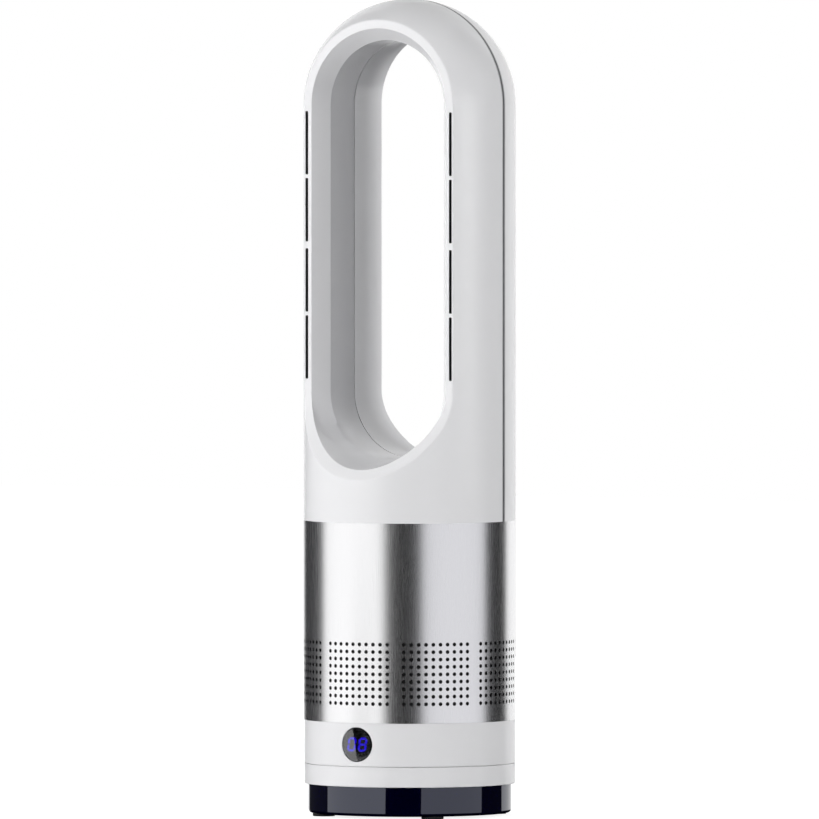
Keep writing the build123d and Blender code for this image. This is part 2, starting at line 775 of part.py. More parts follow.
# ---------------------------------------------------------------- display button
def display_button():
    """The smoked round lens, flush with the ring, which is pressed to switch the fan."""
    rod = rod_y(lens_r, -(ring_r + past), lens_skirt_end, 0, lens_z)
    body = rod & disc(ring_r, lens_z - lens_r - past, lens_z + lens_r + past)
    rim = edges_where(body, lambda point: point.Y < back_of_lens)
    body = fillet(rim, lens_edge_round)
    return body - rod_y(lens_r - lens_skirt_wall, back_of_lens, 0, 0, lens_z)


def tact_centres():
    """The two switches sit left and right, under the lens's skirt."""
    arm = lens_r - lens_skirt_wall / 2
    return [(side * arm, lens_z) for side in (-1, 1)]


def tact_switches():
    """The two switches' housings on the display board."""
    half = tact_size / 2
    front = board_front - tact_body_depth
    housings = []
    for x, z in tact_centres():
        housing = block((x - half, x + half), (front, board_front), (z - half, z + half))
        well = rod_y(plunger_r + button_slip, front - past, board_front - slip / 2, x, z)
        housings.append(housing - well)
    return Compound(housings)


def switch_plungers():
    """The two switch plungers, which the lens's skirt pushes in."""
    return Compound([rod_y(plunger_r, lens_skirt_end, lens_skirt_end + plunger_length, x, z)
                     for x, z in tact_centres()])


def display_board():
    """The upright board behind the lens."""
    half_w, half_h = display_board_width / 2, display_board_height / 2
    board = block((-half_w, half_w), (board_front, board_back), (lens_z - half_h, lens_z + half_h))
    board = fillet(board.edges().filter_by(Axis.Y), board_corner_r)
    for side in (-1, 1):
        x = side * display_boss_x
        board -= rod_y(small_screw_r + screw_slip, board_front - past, board_back + past, x, lens_z)
    return board


def segment_outlines():
    """The seven bars of a digit, as (centre x, centre z, length, upright) in the digit's own frame."""
    half_w = (digit_width - digit_stroke) / 2
    half_h = (digit_height - digit_stroke) / 2
    flat_length = digit_width - digit_stroke
    tall_length = half_h
    return {
        "a": (0, half_h, flat_length, False), "d": (0, -half_h, flat_length, False),
        "g": (0, 0, flat_length, False),
        "b": (half_w, half_h / 2, tall_length, True), "c": (half_w, -half_h / 2, tall_length, True),
        "f": (-half_w, half_h / 2, tall_length, True), "e": (-half_w, -half_h / 2, tall_length, True),
    }


def segment_bar(length, upright):
    """One six-sided bar."""
    half, stroke = length / 2 - segment_gap, digit_stroke / 2
    corners = [(-half, 0), (-half + stroke, stroke), (half - stroke, stroke),
               (half, 0), (half - stroke, -stroke), (-half + stroke, -stroke)]
    return [(-z, x) for x, z in corners] if upright else corners


def digit_segments():
    """The lit bars of the two digits, 0 and 8, standing a little out of the module's face."""
    lean = tan(radians(digit_slant))
    face = board_front - module_depth
    bars = []
    for x0, lit in ((digit_shift - digit_pitch / 2, "abcdef"), (digit_shift + digit_pitch / 2, "abcdefg")):
        outlines = segment_outlines()
        for name in lit:
            cx, cz, length, upright = outlines[name]
            corners = [(x0 + cx + x + (cz + z) * lean, cz + z) for x, z in segment_bar(length, upright)]
            outline = make_face(Plane.XZ * Polyline(*corners, close=True))
            bars.append(Pos(0, face, lens_z) * extrude(outline, segment_proud, dir=(0, -1, 0)))
    return Compound(bars)


def display_module():
    """The block that carries the two digits."""
    left = digit_shift - module_width / 2
    return block((left, left + module_width), (board_front - module_depth, board_front),
                 (lens_z - module_height / 2, lens_z + module_height / 2))


def ir_receiver():
    """The remote control's receiver, under the digits."""
    half = receiver_size / 2
    z = lens_z - module_height / 2 - half - receiver_gap
    front = board_front - receiver_depth
    body = block((-half, half), (front, board_front), (z - half, z + half))
    return body + Pos(0, front, z) * Sphere(receiver_dome_r)


# ---------------------------------------------------------------- control board
def control_board():
    """The main board on its four standoffs."""
    half_w, half_d = control_board_width / 2, control_board_depth / 2
    depths = (control_board_offset - half_d, control_board_offset + half_d)
    board = block((-half_w, half_w), depths, (board_bottom, board_top))
    for x, y in standoff_centres:
        board -= disc(small_screw_r + screw_slip, board_bottom - past, board_top + past, x, y)
    return board


def board_capacitors():
    """The three round smoothing capacitors."""
    return Compound([disc(r, board_top, board_top + height, x, control_board_offset + y)
                     for x, y, r, height in capacitor_sizes])


def board_connectors():
    """The row of plug sockets along the board's front edge."""
    sockets = []
    y = control_board_offset - control_board_depth / 2 + socket_inset
    half_d = socket_depth / 2
    top = board_top + socket_height
    for x, width in socket_sizes:
        half_w = width / 2
        socket = block((x - half_w, x + half_w), (y - half_d, y + half_d), (board_top, top))
        inner_w, inner_d = half_w - socket_wall, half_d - socket_wall
        sockets.append(socket - block((x - inner_w, x + inner_w), (y - inner_d, y + inner_d),
                                      (board_top + socket_floor, top + past)))
    return Compound(sockets)


def board_heatsink():
    """The finned heat sink of the motor driver."""
    left = heatsink_x - heatsink_width / 2
    y = control_board_offset + heatsink_back
    depths = (y - heatsink_depth / 2, y + heatsink_depth / 2)
    floor = block((left, left + heatsink_width), depths, (board_top, board_top + heatsink_floor))
    pitch = (heatsink_width - fin_thickness) / (fin_count - 1)
    rise = (board_top + heatsink_floor - root, board_top + heatsink_height)
    starts = [left + k * pitch for k in range(fin_count)]
    fins = [block((x, x + fin_thickness), depths, rise) for x in starts]
    return fused([floor] + fins)


def small_screws():
    """The small screws of the control board, the swing motor and the display board."""
    standoff_tip = turntable_top + standoff_floor + tip_gap
    screws = [small_screw_down(x, y, board_top, standoff_tip) for x, y in standoff_centres]
    ear_top = turntable_top + swing_ear_thickness
    ear_tip = turntable_bottom + blind_floor + tip_gap
    screws += [small_screw_down(x, y, ear_top, ear_tip) for x, y in swing_ear_centres]
    for side in (-1, 1):
        x = side * display_boss_x
        head = rod_y(small_screw_head_r, board_back, board_back + small_screw_head_height, x, lens_z)
        screws.append(head + rod_y(small_screw_r, board_front - display_screw_length, board_back, x, lens_z))
    return Compound(screws)


# ---------------------------------------------------------------- sleeve and cage
def intake_sleeve():
    """The metal sleeve, with its fields of round holes low down all the way round."""
    sleeve = tube(column_r, sleeve_inner_r, band_bottom, band_top)
    drill = Rot(90, 0, 0) * Cylinder(hole_r, 2 * (sleeve_thickness + past))
    drills = []
    for field in range(hole_fields):
        for column in range(hole_columns):
            angle = 360 / hole_fields * field + (column - (hole_columns - 1) / 2) * hole_pitch_angle
            for row in range(hole_rows):
                z = hole_middle_z + (row - (hole_rows - 1) / 2) * hole_pitch
                drills.append(Rot(0, 0, angle) * Pos(0, -column_r, z) * drill)
    return sleeve.cut(*drills)


def intake_cage():
    """The black cage inside the sleeve: it carries the loop, and its windows let the air in."""
    cage = tube(cage_r, cage_inner_r, band_bottom, band_top)
    wall_r, flange_r = cage_inner_r + graze, cage_inner_r - cage_flange_width
    foot_top = band_bottom + cage_flange_thickness
    foot = tube(wall_r, flange_r, band_bottom, foot_top)
    head = tube(wall_r, flange_r, duct_top, band_top)
    ledge = tube(wall_r, cage_inner_r - plate_ledge_width, ledge_top - plate_ledge_thickness, ledge_top)
    boss_bottom = ledge_top - plate_boss_length
    bosses = [disc(plate_boss_r, boss_bottom, fan_plate_bottom, x, y) for x, y in plate_screw_centres]
    cage = fused([cage, foot, head, ledge] + bosses)
    half_h = field_height / 2 + window_margin
    half_angle = radians(field_angle / 2 + window_margin_angle)
    reach = column_r + past
    half_w = reach * tan(half_angle)
    wedge = make_face(Polyline((0, 0), (-half_w, -reach), (half_w, -reach), close=True))
    window = extrude(wedge, 2 * half_h) - disc(cage_inner_r - past, -past, 2 * half_h + past)
    for field in range(hole_fields):
        cage -= Pos(0, 0, hole_middle_z - half_h) * Rot(0, 0, 360 / hole_fields * field) * window
    for x, y in cage_screw_centres:
        cage -= disc(screw_r + screw_slip, band_bottom - past, foot_top + past, x, y)
    for x, y in plate_screw_centres:
        cage -= disc(screw_r + screw_slip, boss_bottom + plate_boss_floor, fan_plate_bottom + past, x, y)
    for x, y in neck_screw_centres:
        cage -= disc(screw_r + screw_slip, duct_top - past, band_top + past, x, y)
    return cage


# ---------------------------------------------------------------- fan unit
def shroud_profile(grow):
    """The air path's outer wall from the bell mouth up to the fan plate, moved outwards by grow."""
    low = fan_plate_bottom - shroud_depth
    throat_z = low + shroud_throat_rise
    exit_r = shroud_exit_r - diffuser_wall + grow
    return [(shroud_mouth_r + grow, low), (shroud_throat_r + shroud_flare + grow, low + shroud_flare_rise),
            (shroud_throat_r + grow, throat_z),
            (shroud_throat_r + shroud_swell + grow, throat_z + shroud_swell_rise),
            (exit_r, fan_plate_bottom - shroud_collar), (exit_r, fan_plate_top)]


def impeller_shroud():
    """The bell-mouthed housing round the impeller, hung from its plate."""
    inner, outer = shroud_profile(0), shroud_profile(shroud_wall)
    shroud = turned(inner + list(reversed(outer)))
    inner_r = shroud_exit_r - diffuser_wall + shroud_wall / 2
    shroud = shroud + tube(cage_inner_r - slip, inner_r, fan_plate_bottom, fan_plate_top)
    for x, y in plate_screw_centres + diffuser_screw_centres:
        shroud -= disc(screw_r + screw_slip, fan_plate_bottom - past, fan_plate_top + past, x, y)
    return shroud


def shroud_gasket():
    """The soft ring between the fan plate and its ledge."""
    outer = cage_inner_r - slip
    return tube(outer, outer - gasket_width, ledge_top, fan_plate_bottom)


def twisted_blade(inner, outer, thickness, height, twist):
    """A radial plate that turns as it rises."""
    section = Pos((inner + outer) / 2, 0, 0) * Rectangle(outer - inner, thickness)
    return Solid.extrude_linear_with_rotation(section.face(), center=(0, 0, 0), normal=(0, 0, height),
                                              angle=twist)


def impeller():
    """The mixed-flow impeller: a cone with twisted blades that follow the shroud."""
    nose_z = impeller_bottom + impeller_nose_rise
    shoulder_z = impeller_bottom + impeller_nose_height
    waist_z = impeller_bottom + impeller_waist_height
    boss_z = impeller_top - impeller_boss_drop
    hub = turned([(0, nose_z), (impeller_nose_flat_r, nose_z), (impeller_nose_r, shoulder_z),
                  (impeller_waist_r, waist_z), (impeller_hub_top_r, impeller_top),
                  (impeller_hub_top_r - impeller_hub_wall, impeller_top),
                  (impeller_waist_r - impeller_hub_wall, waist_z + impeller_hub_wall),
                  (impeller_boss_r, waist_z - impeller_web_drop), (impeller_boss_r, boss_z), (0, boss_z)])
    room = [(r - tip_clearance, z) for r, z in shroud_profile(0)]
    envelope = turned([(0, room[0][1]), *room, (0, room[-1][1])])
    blade_low = impeller_bottom + blade_rise
    band = disc(column_r, blade_low, impeller_top)
    blade = twisted_blade(impeller_boss_r - root, shroud_mouth_r, blade_thickness, impeller_top - blade_low,
                          blade_twist)
    under_hub = turned([(0, nose_z), (impeller_nose_r - blade_sink, shoulder_z),
                        (impeller_waist_r - blade_sink, waist_z),
                        (impeller_hub_top_r - blade_sink, impeller_top + past), (0, impeller_top + past)])
    blade = (Pos(0, 0, blade_low) * blade & envelope & band) - under_hub
    blades = [Rot(0, 0, 360 / blade_count * k) * blade for k in range(blade_count)]
    wheel = fused([hub] + blades)
    return wheel - disc(shaft_r + screw_slip, impeller_bottom - past, impeller_top + past)


def impeller_nut():
    """The nut that holds the impeller on its shaft."""
    low = impeller_bottom + impeller_nose_rise - nut_height
    nut = Pos(0, 0, low) * extrude(RegularPolygon(nut_r, 6), nut_height)
    return nut - disc(shaft_r + screw_slip, low - past, low + nut_height + past)


def diffuser():
    """The fixed vanes above the impeller, round the pod that holds the motor."""
    outer = tube(shroud_exit_r, shroud_exit_r - diffuser_wall, fan_plate_top, diffuser_top)
    pod = disc(pod_r, fan_plate_bottom, diffuser_top) - disc(pod_inner_r, pod_floor_top, diffuser_top + past)
    pod -= disc(bearing_r + pod_bore_gap, fan_plate_bottom - past, pod_floor_top + past)
    height = diffuser_height - 2 * vane_end_gap
    vane = twisted_blade(pod_r - root, shroud_exit_r - root, vane_thickness, height, vane_twist)
    vane = Pos(0, 0, fan_plate_top + vane_end_gap) * vane
    vanes = [Rot(0, 0, 360 / vane_count * k) * vane for k in range(vane_count)]
    flange_top = fan_plate_top + diffuser_flange_thickness
    flange = tube(shroud_exit_r + diffuser_flange_width, shroud_exit_r - graze, fan_plate_top, flange_top)
    body = fused([outer, pod, flange] + vanes)
    for x, y in diffuser_screw_centres:
        body -= disc(screw_r + screw_slip, fan_plate_top - past, flange_top + past, x, y)
    return body


def motor_damper():
    """The rubber sleeve that the motor sits in."""
    return tube(damper_r, motor_can_r + slip, motor_bottom, motor_top - damper_drop)


def motor_can():
    """The motor's steel case, with a bearing seat at each end."""
    case = disc(motor_can_r, motor_bottom, motor_top)
    case -= disc(can_inner_r, motor_bottom + motor_can_end, motor_top - motor_can_end)
    for low in (motor_bottom, motor_top - motor_can_end):
        case -= disc(bearing_r + screw_slip, low - past, low + motor_can_end + past)
    seats = [tube(bearing_r + bearing_seat_wall, bearing_r + screw_slip, low, low + bearing_width)
             for low in (motor_bottom, motor_top - bearing_width)]
    return fused([case] + seats)


def bearing(low):
    """A ball bearing, drawn as its two rings and the shield between them."""
    high = low + bearing_width
    ring = tube(bearing_r, shaft_r + running, low, high)
    outer, inner = bearing_r - bearing_ring_width, shaft_r + bearing_ring_width
    ring -= tube(outer, inner, low - past, low + shield_recess)
    return ring - tube(outer, inner, high - shield_recess, high + past)


def motor_shaft():
    """The shaft that carries the rotor and the impeller."""
    return disc(shaft_r, impeller_bottom - shaft_below, motor_top + shaft_above)


def motor_rotor():
    """The magnet rotor, between the two bearings."""
    middle = (motor_bottom + motor_top) / 2
    return tube(rotor_r, shaft_r + screw_slip, middle - rotor_length / 2, middle + rotor_length / 2)


def motor_stator():
    """The laminated ring with its teeth round the rotor."""
    middle = (motor_bottom + motor_top) / 2
    low, high = middle - rotor_length / 2, middle + rotor_length / 2
    outer = can_inner_r - screw_slip
    bore = rotor_r + air_gap
    ring = tube(outer, outer - stator_yoke, low, high)
    half_w = stator_tooth_width / 2
    tooth = block((bore + stator_shoe / 2, outer - root), (-half_w, half_w), (low, high))
    half_shoe = stator_shoe_width / 2
    shoe_bar = block((0, outer), (-half_shoe, half_shoe), (low, high))
    shoe = tube(bore + stator_shoe, bore, low, high) & shoe_bar
    teeth = [Rot(0, 0, 360 / stator_tooth_count * k) * (tooth + shoe) for k in range(stator_tooth_count)]
    return fused([ring] + teeth) - disc(bore, low - past, high + past)


def motor_coils():
    """The copper windings, one round each tooth."""
    middle = (motor_bottom + motor_top) / 2
    half = rotor_length / 2
    x0 = rotor_r + air_gap + stator_shoe + slip
    half_w = stator_tooth_width / 2 + screw_slip
    wide = half_w + winding_thickness
    x1 = sqrt((can_inner_r - screw_slip - stator_yoke) ** 2 - wide ** 2) - slip
    tall = half + winding_overhang
    coil = block((x0, x1), (-wide, wide), (middle - tall, middle + tall))
    inner = half + screw_slip
    coil -= block((x0 - past, x1 + past), (-half_w, half_w), (middle - inner, middle + inner))
    return Compound([Rot(0, 0, 360 / stator_tooth_count * k) * coil for k in range(stator_tooth_count)])


def pod_cap():
    """The rounded cap that closes the motor pod and smooths the air above it."""
    bend = min(pod_r, pod_cap_height) * pod_cap_round_share
    outer = disc(pod_r, diffuser_top, diffuser_top + pod_cap_height)
    outer = fillet(outer.edges().group_by(Axis.Z)[-1], bend)
    inner = disc(pod_inner_r, diffuser_top - past, diffuser_top + pod_cap_height - pod_wall)
    inner = fillet(inner.edges().group_by(Axis.Z)[-1], bend - pod_wall)
    return outer - inner


def outlet_duct():
    """The cone that leads the air from the diffuser up to the loop."""
    top_r = cage_inner_r - cage_flange_width - duct_top_inset
    bend_z = duct_top - duct_collar
    inner = [(shroud_exit_r - diffuser_wall, diffuser_top), (top_r - duct_wall, bend_z),
             (top_r - duct_wall, band_top)]
    outer = [(shroud_exit_r - diffuser_wall + duct_wall, diffuser_top), (top_r, bend_z - duct_wall),
             (top_r, band_top)]
    cone = turned(inner + list(reversed(outer)))
    flange_r = top_r + duct_top_inset + seal_width
    flange_top = duct_top - seal_thickness
    return cone + tube(flange_r, top_r - graze, flange_top - duct_wall, flange_top)


def duct_seal():
    """The foam ring between the duct and the cage's head."""
    inner = cage_inner_r - cage_flange_width
    return tube(inner + seal_width, inner, duct_top - seal_thickness, duct_top)


def fan_screws():
    """The screws of the fan unit: its plate to the cage, and the diffuser to the plate."""
    plate_tip = ledge_top - plate_boss_length + plate_boss_floor + tip_gap
    plate = [screw_down(x, y, fan_plate_top, plate_tip) for x, y in plate_screw_centres]
    vane_floor = fan_plate_top + diffuser_flange_thickness
    vanes = [screw_down(x, y, vane_floor, fan_plate_bottom + tip_gap) for x, y in diffuser_screw_centres]
    return Compound(plate + vanes)


def chassis_screws():
    """The larger screws of the column: skirt to turntable, cage to ring and cage to neck plate."""
    skirt_tip = turntable_bottom + blind_floor + tip_gap
    skirt = [screw_down(x, y, turntable_top + ledge_thickness, skirt_tip) for x, y in skirt_screw_centres]
    cage_tip = control_top - ledge_thickness - screw_overhang
    cage = [screw_down(x, y, band_bottom + cage_flange_thickness, cage_tip) for x, y in cage_screw_centres]
    neck_tip = band_top + neck_plate_thickness - tip_gap
    neck = [screw_up(x, y, duct_top, neck_tip) for x, y in neck_screw_centres]
    return Compound(skirt + cage + neck)


# ---------------------------------------------------------------- loop
def opening_chain():
    """The opening's wall as (half width, depth) from front to back."""
    slope = (rear_inner_r - seam_inner_r) / (rear_edge_plane - seam_plane)
    return [(rim_inner_r, -loop_reach), (rim_inner_r, -rim_plane), (throat_r, -throat_plane),
            (seam_inner_r, seam_plane), (seam_inner_r + slope * (loop_reach - seam_plane), loop_reach)]


def half_ellipse(depth, across, down):
    """The lower half of an ellipse in the plane at that depth, as a face."""
    arc = EllipticalCenterArc((0, 0), across, down, start_angle=half_turn, arc_size=half_turn)
    lid = Line(arc @ 1, arc @ 0)
    return Pos(0, depth, opening_low) * (Plane.XZ * make_face([arc, lid]))


def opening(grow):
    """The space inside the loop, grown by grow into the walls."""
    chain = offset_chain(opening_chain(), grow)
    back, front = chain[-1][1], chain[0][1]
    throat_w, throat_y = chain[2]
    rim_w, rim_y = chain[1]

    def plan(points):
        """The upright part from a closed plan outline."""
        return extrude(make_face(Polyline(*points, close=True)), opening_straight)

    right = [(r, y) for r, y in chain]
    left = [(-r, y) for r, y in reversed(chain)]
    middle = Pos(0, 0, opening_low) * plan(right + left)

    def bow(points, z, angle):
        """Half a turn about the depth axis at that height."""
        outline = make_face(Polyline(*[(r, y, z) for r, y in points], close=True))
        return revolve(outline, Axis((0, 0, z), (0, 1, 0)), angle)

    upper = bow([(0, front)] + right + [(0, back)], opening_high, -half_turn)
    lower = bow([(0, throat_y)] + right[2:] + [(0, back)], opening_low, half_turn)
    slope = (scoop_floor_r - throat_r) / (scoop_front() - throat_plane)
    rim_down = throat_w + slope * (throat_y - rim_y)
    front_down = throat_w + slope * (throat_y - front)
    at_throat = half_ellipse(throat_y, throat_w, throat_w)
    at_rim = half_ellipse(rim_y, rim_w, rim_down)
    funnel = loft([at_throat, at_rim], ruled=True)
    mouth = loft([at_rim, half_ellipse(front, rim_w, front_down)], ruled=True)
    return fused([middle, upper, lower, funnel, mouth])


def scoop_front():
    """How far ahead of the axis the scoop lies at the depth of the opening's floor."""
    return sqrt(rim_plane ** 2 + scoop_floor_r ** 2)


def front_cut(grow):
    """All that lies ahead of the rim: a flat above, sweeping forward below like a scoop."""
    bottom = sqrt((column_r + scoop_overrun) ** 2 - rim_plane ** 2)
    curve = []
    for k in range(scoop_steps + 1):
        down = bottom * k / scoop_steps
        ahead = sqrt(rim_plane ** 2 + down ** 2)
        lean = hypot(1, down / ahead)
        curve.append((-ahead + grow / lean, opening_low - down - grow * (down / ahead) / lean))
    end_tilt = bottom / sqrt(rim_plane ** 2 + bottom ** 2)
    sweep = Spline(*[(0, y, z) for y, z in curve], tangents=[(0, 0, -1), (0, -end_tilt, -1)])
    first_y, first_z = curve[0]
    last_z = curve[-1][1]
    top = loop_top + edge_margin
    frame = Polyline(sweep @ 1, (0, -loop_reach, last_z), (0, -loop_reach, top), (0, first_y, top),
                     (0, first_y, first_z))
    face = make_face([sweep, frame])
    return Pos(-loop_reach, 0, 0) * extrude(face, 2 * loop_reach, dir=(1, 0, 0))


def loop_form(grow, bottom):
    """The filled loop with its walls moved inwards by grow, from bottom up."""
    column = disc(column_r - grow, bottom, opening_high)
    dome = Pos(0, 0, opening_high) * Sphere(column_r - grow)
    return (column + dome) - front_cut(grow) - opening(grow)


def is_on_skin(point):
    """True where a point lies on the loop's round outer surface."""
    above = max(point.Z - opening_high, 0)
    return abs(sqrt(point.X ** 2 + point.Y ** 2 + above ** 2) - column_r) < running


def edges_where(shape, test):
    """The edges of a shape whose points, near both ends and between them, all pass a test."""
    shares = (0.1, 0.35, 0.65, 0.9)
    return ShapeList([e for e in shape.edges() if all(test(e @ share) for share in shares)])


def rounded_loop():
    """The loop's outer form with its rim and its back edge rounded."""
    form = loop_form(0, band_top)
    low = band_top + edge_margin
    back_from = rear_edge_plane - edge_margin
    back = edges_where(form, lambda p: is_on_skin(p) and p.Y > back_from and p.Z > low)
    form = fillet(back, rear_round)
    rim_from = -(rim_plane - edge_margin)
    rim = edges_where(form, lambda p: is_on_skin(p) and p.Y < rim_from and p.Z > low)
    return fillet(rim, rim_round)


def slot_heights():
    """The middles of the four slots on each side, from the bottom up."""
    middle = (opening_low + opening_high) / 2 + slot_bank_lift
    inner = slot_large_gap / 2 + slot_length / 2
    outer = inner + slot_length + slot_small_gap
    return [middle - outer, middle - inner, middle + inner, middle + outer]


def slots(inset, front, back):
    """Bars in the shape of the air slots, both sides, smaller than the slots by an inset all round."""
    x = rim_inner_r + slot_offset
    half_w, half_l = slot_width / 2 - inset, slot_length / 2 - inset
    bars = [block((side * x - half_w, side * x + half_w), (front, back), (z - half_l, z + half_l))
            for side in (-1, 1) for z in slot_heights()]
    corner = min(slot_end_round, half_w * slot_round_share)
    return [fillet(bar.edges().filter_by(Axis.Y), corner) for bar in bars]


def seam_slab(front, back):
    """A slab across the loop between two depths."""
    return block((-loop_reach, loop_reach), (front, back), (band_top - edge_margin, loop_top + edge_margin))


def loop_shells():
    """The front and back shells of the loop, with a lip on the back one that enters the front one."""
    cavity = loop_form(shell_wall, band_top - past)
    hollow = rounded_loop() - cavity
    half_gap = loop_seam_gap / 2
    lip_front = seam_plane - half_gap - loop_seam_lip
    front = hollow & seam_slab(-loop_reach, seam_plane - half_gap)
    rear = hollow & seam_slab(seam_plane + half_gap, loop_reach)
    lip = (loop_form(seam_lip_inset, band_top) - cavity) & seam_slab(lip_front, seam_plane + half_gap)
    lip_slab = seam_slab(lip_front - slip, seam_plane)
    lip_room = loop_form(seam_lip_inset - slip / 2, band_top - past) & lip_slab
    rear = rear + lip
    front -= lip_room
    front = front.cut(*slots(0, -(rim_plane + past), -(rim_plane - shell_wall - past)))
    return front, rear


def nozzle(side):
    """The black channel behind one side's slots, with a rim in each slot that aims the air forward."""
    x = side * (rim_inner_r + slot_offset)
    front = -(rim_plane - shell_wall)
    heights = slot_heights()
    low = heights[0] - slot_length / 2 - nozzle_end
    high = heights[-1] + slot_length / 2 + nozzle_end
    bar = block((x - nozzle_width / 2, x + nozzle_width / 2), (front, front + nozzle_depth), (low, high))
    bar = bar & loop_form(shell_wall + screw_slip, band_top)
    lip_inset = slip / 2
    lip_front = -(rim_plane - nozzle_lip_setback)
    lips = [lip for lip in slots(lip_inset, lip_front, front + root) if lip.center().X * side > 0]
    bar = fused([bar] + lips)
    return bar.cut(*slots(lip_inset + nozzle_lip_wall, lip_front - past, front + nozzle_depth + past))


def flow_splitter():
    """The keel under the opening's floor that parts the air between the two legs."""
    top = opening_low - throat_r + splitter_rise
    edge = top - splitter_edge
    tip = opening_low - scoop_floor_r - shell_wall - splitter_drop
    half = splitter_width / 2
    waist, waist_z = half * splitter_waist, (top + tip) / 2
    flank = Spline((half, 0, edge), (waist, 0, waist_z), (0, 0, tip),
                   tangents=[(-1, 0, -1), (-splitter_tip_lean, 0, -1)])
    other = Spline((0, 0, tip), (-waist, 0, waist_z), (-half, 0, edge),
                   tangents=[(-splitter_tip_lean, 0, 1), (-1, 0, 1)])
    cap = Polyline((-half, 0, edge), (-half, 0, top), (half, 0, top), (half, 0, edge))
    keel = extrude(make_face([flank, other, cap]), column_r, dir=(0, 1, 0), both=True)
    gap = shell_wall + slip
    room = disc(column_r - gap - splitter_gap, band_top, opening_high)
    return (keel & room) - front_cut(gap) - opening(gap)


def neck_plate():
    """The ring inside the loop's foot that the cage is screwed to."""
    top = band_top + neck_plate_thickness
    plate = tube(column_r - shell_wall - slip, cage_inner_r - cage_flange_width, band_top, top)
    for x, y in neck_screw_centres:
        plate -= disc(screw_r + screw_slip, band_top - past, top + past, x, y)
    return plate


# ---------------------------------------------------------------- build and write
def build():
    """Every piece by name."""
    front_shell, rear_shell = loop_shells()
    return {
        "rubber_feet": rubber_feet(), "base_plate": base_plate(), "base_shell": base_shell(),
        "ballast_ring": ballast_ring(), "base_screws": base_screws(), "cord_gland": cord_gland(),
        "pivot_post": pivot_post(), "retaining_washer": retaining_washer(), "drive_screws": drive_screws(),
        "washer_screws": washer_screws(), "glide_ring": glide_ring(), "fixed_gear": fixed_gear(),
        "swing_pinion": swing_pinion(), "swing_shaft": swing_shaft(), "swing_motor": swing_motor(),
        "turntable": turntable(), "pivot_bush": pivot_bush(), "lower_skirt": lower_skirt(),
        "control_ring": control_ring(), "display_button": display_button(),
        "switch_plungers": switch_plungers(), "tact_switches": tact_switches(),
        "display_board": display_board(), "display_module": display_module(),
        "digit_segments": digit_segments(), "ir_receiver": ir_receiver(), "control_board": control_board(),
        "board_capacitors": board_capacitors(), "board_connectors": board_connectors(),
        "board_heatsink": board_heatsink(), "small_screws": small_screws(),
        "chassis_screws": chassis_screws(), "fan_screws": fan_screws(),
        "intake_sleeve": intake_sleeve(), "intake_cage": intake_cage(), "impeller_shroud": impeller_shroud(),
        "shroud_gasket": shroud_gasket(), "impeller": impeller(), "impeller_nut": impeller_nut(),
        "motor_shaft": motor_shaft(), "motor_rotor": motor_rotor(), "motor_stator": motor_stator(),
        "motor_coils": motor_coils(), "motor_can": motor_can(), "motor_damper": motor_damper(),
        "lower_bearing": bearing(motor_bottom), "upper_bearing": bearing(motor_top - bearing_width),
        "diffuser": diffuser(), "pod_cap": pod_cap(), "outlet_duct": outlet_duct(), "duct_seal": duct_seal(),
        "neck_plate": neck_plate(), "flow_splitter": flow_splitter(), "left_nozzle": nozzle(-1),
        "right_nozzle": nozzle(1), "front_shell": front_shell, "rear_shell": rear_shell,
    }


def main():
    """Writes one STEP file for each piece."""
    os.makedirs("parts", exist_ok=True)
    for name, shape in build().items():
        export_step(shape, f"parts/{name}.step")
        box = shape.bounding_box()
        print(f"{name:18s} solids {len(shape.solids()):3d}  z {box.min.Z:7.1f} to {box.max.Z:7.1f}")


main()
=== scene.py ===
"""Looks of a bladeless tower fan: a black drum, two white rings, a perforated sleeve and a white air loop.

Every length is in metres. The front of the fan faces -Y, and the column stands on the Z axis.
"""

import logging
import math
from dataclasses import dataclass
from enum import Enum
from typing import ClassVar, Mapping, Sequence

import bmesh
import bpy
import numpy as np
from mathutils import Matrix, Vector


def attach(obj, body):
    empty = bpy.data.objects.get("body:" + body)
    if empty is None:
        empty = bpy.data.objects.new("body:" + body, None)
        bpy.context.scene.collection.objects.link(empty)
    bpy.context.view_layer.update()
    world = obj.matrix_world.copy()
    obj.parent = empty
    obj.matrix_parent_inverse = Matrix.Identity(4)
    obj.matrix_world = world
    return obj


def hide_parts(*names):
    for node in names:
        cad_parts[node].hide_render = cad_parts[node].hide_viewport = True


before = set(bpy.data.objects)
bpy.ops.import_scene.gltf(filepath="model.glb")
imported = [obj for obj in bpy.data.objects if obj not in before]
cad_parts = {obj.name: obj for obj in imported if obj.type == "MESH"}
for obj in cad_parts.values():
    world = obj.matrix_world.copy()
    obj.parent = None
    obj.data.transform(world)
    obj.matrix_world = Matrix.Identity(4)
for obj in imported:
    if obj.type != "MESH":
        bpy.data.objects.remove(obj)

Trio = tuple[float, float, float]
Colour = Trio
Mesh = bpy.types.Mesh
Node = bpy.types.Node
Outputs = bpy.types.NodeOutputs
Piece = bpy.types.Object
Socket = bpy.types.NodeSocket

log = logging.getLogger("tower_fan")
MM = 0.001
COLUMN_R = 95.0 * MM  # outside of the rings, the sleeve and the loop
HOLE_SHADE_R = COLUMN_R - 0.35 * MM  # nearer to the axis than this, the sleeve is painted near black, as painted shade in its holes and on its inner side
BEND_Z = 636.1 * MM  # where the loop's legs end and its round top begins
SAME_PLACE = 2e-6  # corners nearer to each other than this are one
ON_SKIN = 4e-5  # how far a facet may lie off the round skin that it stands for
LEAST_LENGTH = 1e-12  # shorter vectors have no direction
WAVE_SPEED = 20.0  # what the wave texture multiplies a height by

